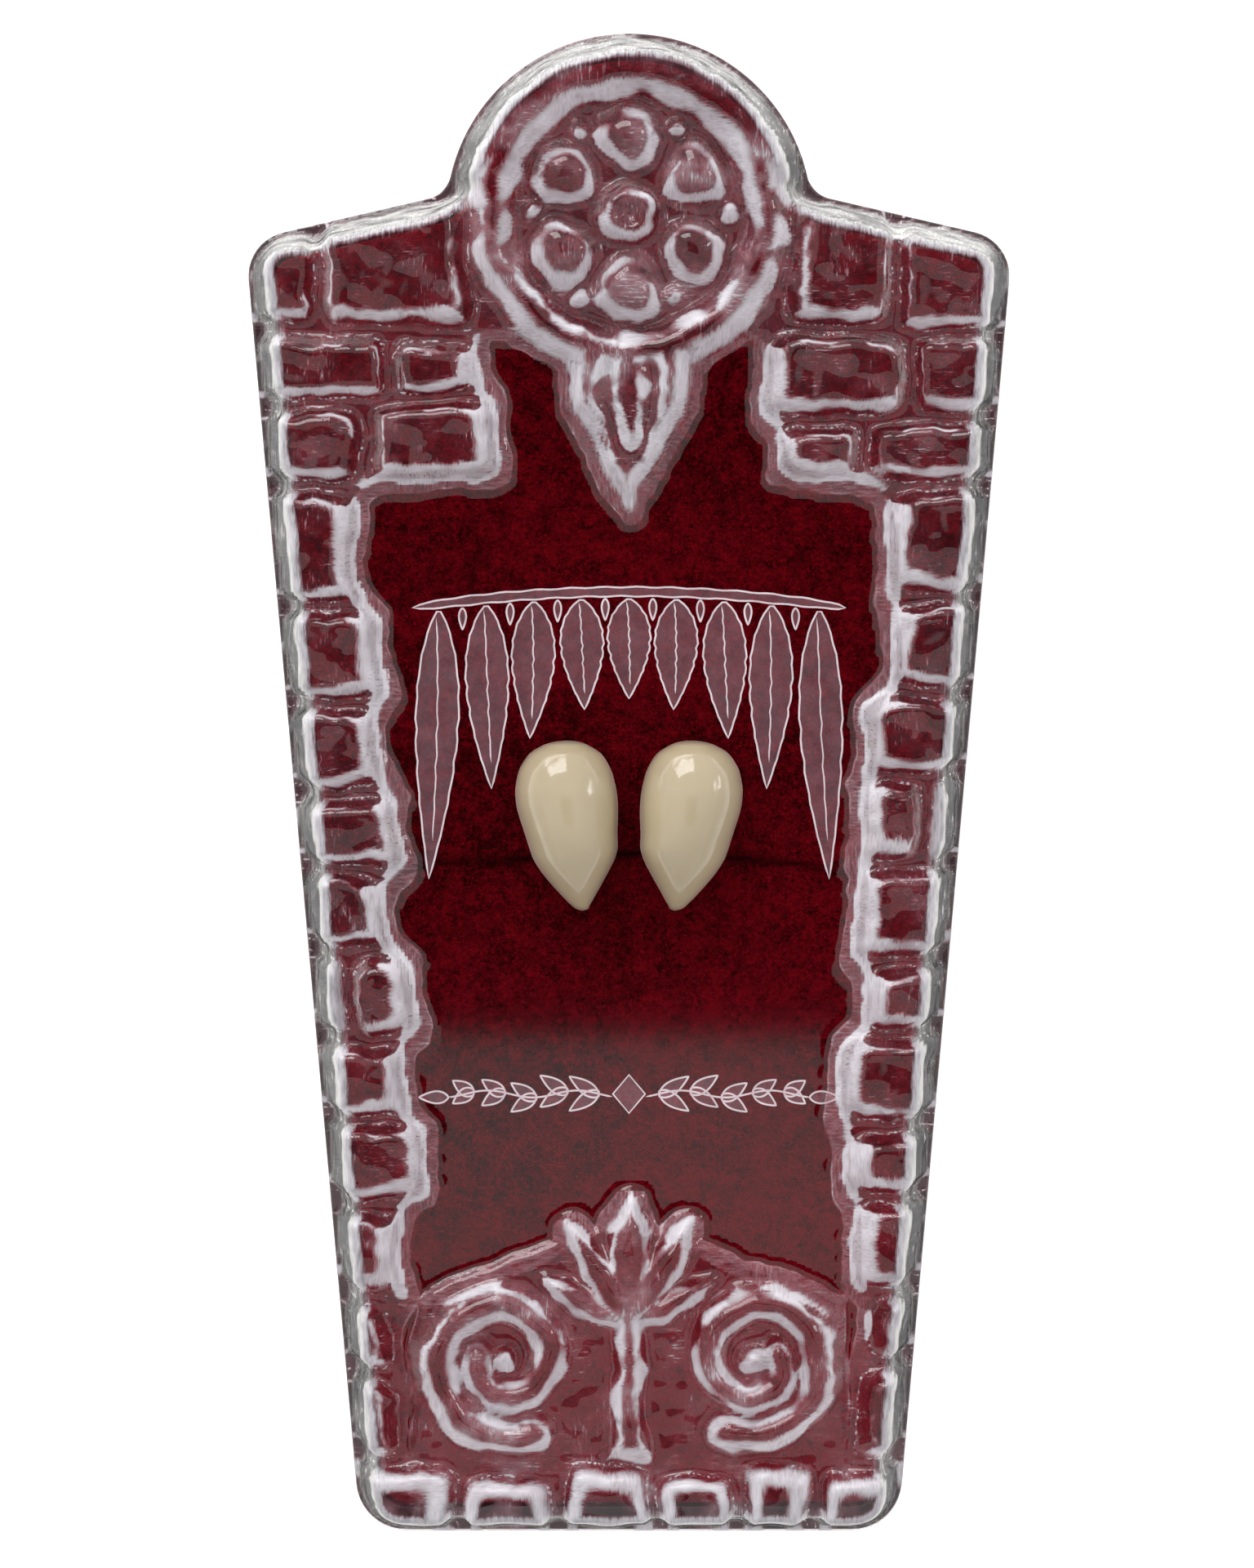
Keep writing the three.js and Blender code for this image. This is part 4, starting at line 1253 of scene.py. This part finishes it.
def sprig_leaves():
    """Small pairs of leaves along a thin stem, to both sides of a lozenge."""
    middle = SPRIG_HEIGHT
    leaves = [np.array([(0, middle - 1.9), (1.6, middle), (0, middle + 1.9), (-1.6, middle)], float)]
    for side in (-1, 1):
        for k in range(5):
            distance = 3 + SPRIG_STEP * k
            for tilt in (-1, 1):
                foot = (side * distance, sprig_stem(distance) - 0.25 * tilt)
                turn = -side * math.radians(90 - tilt * 34)
                leaves.append(leaf_outline(foot, turn, 3.5 - 0.26 * k, 1.3))
        leaves.append(leaf_outline((side * 17.9, sprig_stem(17.9)), -side * math.pi / 2, 2.9, 1.2))
    return leaves


def sprig_stem(distance):
    return SPRIG_HEIGHT + 0.35 * np.sin((distance - 2.9) / SPRIG_STEP * 2.2)


def build_marks(fill_material, line_material):
    long_leaves, buds = fringe_leaves()
    shapes = [stem_band(21.4, 0.9), *long_leaves, *buds, *sprig_leaves()]
    bm = bmesh.new()
    for points in shapes:
        add_fill(bm, points, WINDOW + MARK_LIFT)
    fill = new_object("etched_leaves", bm, fill_material, False)
    bm = bmesh.new()
    level = WINDOW + LINE_LIFT
    for points in shapes:
        add_line(bm, points, LINE_WIDTH, level)
    for points in long_leaves:
        left = np.vstack([points[0], points[: LEAF_POINTS - 1 : -1]])
        vein = (points[:LEAF_POINTS] + left[:LEAF_POINTS]) / 2
        add_line(bm, vein[1:-3], VEIN_WIDTH, level, closed=False)
    for side in (-1, 1):
        x = np.linspace(1.6, 18, 36)
        add_line(bm, np.column_stack([side * x, sprig_stem(x)]), LINE_WIDTH, level, closed=False)
    return fill, new_object("etched_outlines", bm, line_material, False)


clear_sheet = cover_material()
velvet = velvet_material()
black_plastic = tray_material()
ivory = fang_material()

cover = build_cover(clear_sheet)
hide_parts("case_cover")
tray = build_tray(black_plastic)
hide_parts("case_tray")
bed = build_bed(velvet)
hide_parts("velvet_bed")
fang_pieces = (
    ("ivory_fang_left", "fang_left", -1),
    ("ivory_fang_right", "fang_right", 1),
)
for name, node_name, side in fang_pieces:
    fang = build_fang(name, side, ivory)
    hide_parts(node_name)
for mark in build_marks(
    etched_material("etched_fill", (0.6, 0.34, 0.4), 0.12, 0.2),
    etched_material("etched_line", (0.82, 0.72, 0.76), 0.62, 0.9),
):
    mark.visible_shadow = False
    mark.visible_glossy = False

# The floor, the light and the camera


def build_floor():
    material, tree, output = new_material("pale_floor")
    grain = noise_map(tree, (40, 40, 40), 2, 0.5, 0.3, 0.7)
    plain = shader_of(
        tree,
        "Principled",
        Base_Color=mix_colour(tree, grain, (0.93, 0.93, 0.93), (0.95, 0.95, 0.95)),
        Roughness=0.9,
        Emission_Color=(1, 1, 1, 1),
        Emission_Strength=0.7,
    )
    link(tree, plain, output.inputs["Surface"])
    mesh = bpy.data.meshes.new("floor")
    bm = bmesh.new()
    bmesh.ops.create_grid(bm, x_segments=2, y_segments=2, size=3)
    bm.to_mesh(mesh)
    bm.free()
    floor = bpy.data.objects.new("floor", mesh)
    floor.data.materials.append(material)
    bpy.context.scene.collection.objects.link(floor)


def build_world():
    """An even white tent with a dark opening over the case, where the camera looks in."""
    world = bpy.data.worlds.new("white_tent")
    bpy.context.scene.world = world
    world.use_nodes = True
    tree = world.node_tree
    tree.nodes.clear()
    output = tree.nodes.new("ShaderNodeOutputWorld")
    background = tree.nodes.new("ShaderNodeBackground")
    coords = tree.nodes.new("ShaderNodeTexCoord")
    parts = tree.nodes.new("ShaderNodeSeparateXYZ")
    link(tree, coords.outputs["Generated"], parts.inputs["Vector"])

    near_y = ramp(tree, parts.outputs["Y"], -0.0655, -0.0625, True)
    far_y = ramp(tree, parts.outputs["Y"], 0.34, 0.24, True)
    sides = ramp(tree, maths(tree, "ABSOLUTE", parts.outputs["X"]), 0.3, 0.2, True)
    up = ramp(tree, parts.outputs["Z"], 0.2, 0.4, True)
    hole = times(tree, near_y, far_y, sides, up)
    colour = mix_colour(tree, hole, (0.84, 0.83, 0.83), (0.01, 0.01, 0.01))
    link(tree, colour, background.inputs["Color"])
    background.inputs["Strength"].default_value = 1.0
    link(tree, background.outputs["Background"], output.inputs["Surface"])


def add_area(name, place, size, power, target=(0, 0, 0.015)):
    data = bpy.data.lights.new(name, "AREA")
    data.shape = "RECTANGLE"
    data.size, data.size_y = size
    data.energy = power
    lamp = bpy.data.objects.new(name, data)
    bpy.context.scene.collection.objects.link(lamp)
    lamp.rotation_euler = (Vector(target) - Vector(place)).to_track_quat("-Z", "Y").to_euler()
    lamp.location = place


def build_camera():
    data = bpy.data.cameras.new("camera")
    data.sensor_fit = "VERTICAL"
    data.sensor_height = 36
    data.lens = 200
    data.clip_end = 20
    camera = bpy.data.objects.new("camera", data)
    tilt = math.radians(2)
    distance = 0.872
    x, z = -0.0002, 0.011
    camera.location = (x, distance * math.sin(tilt), z + distance * math.cos(tilt))
    camera.rotation_euler = (-tilt, 0, 0)
    bpy.context.scene.collection.objects.link(camera)
    bpy.context.scene.camera = camera


build_floor()
build_world()
add_area("key_softbox", (-0.2, 0.57, 0.2), (0.46, 0.48), 4.2)
add_area("side_softbox", (0.53, 0.24, 0.2), (0.12, 0.2), 0.5)
build_camera()

scene = bpy.context.scene
scene.view_settings.view_transform = "Standard"
scene.view_settings.look = "None"
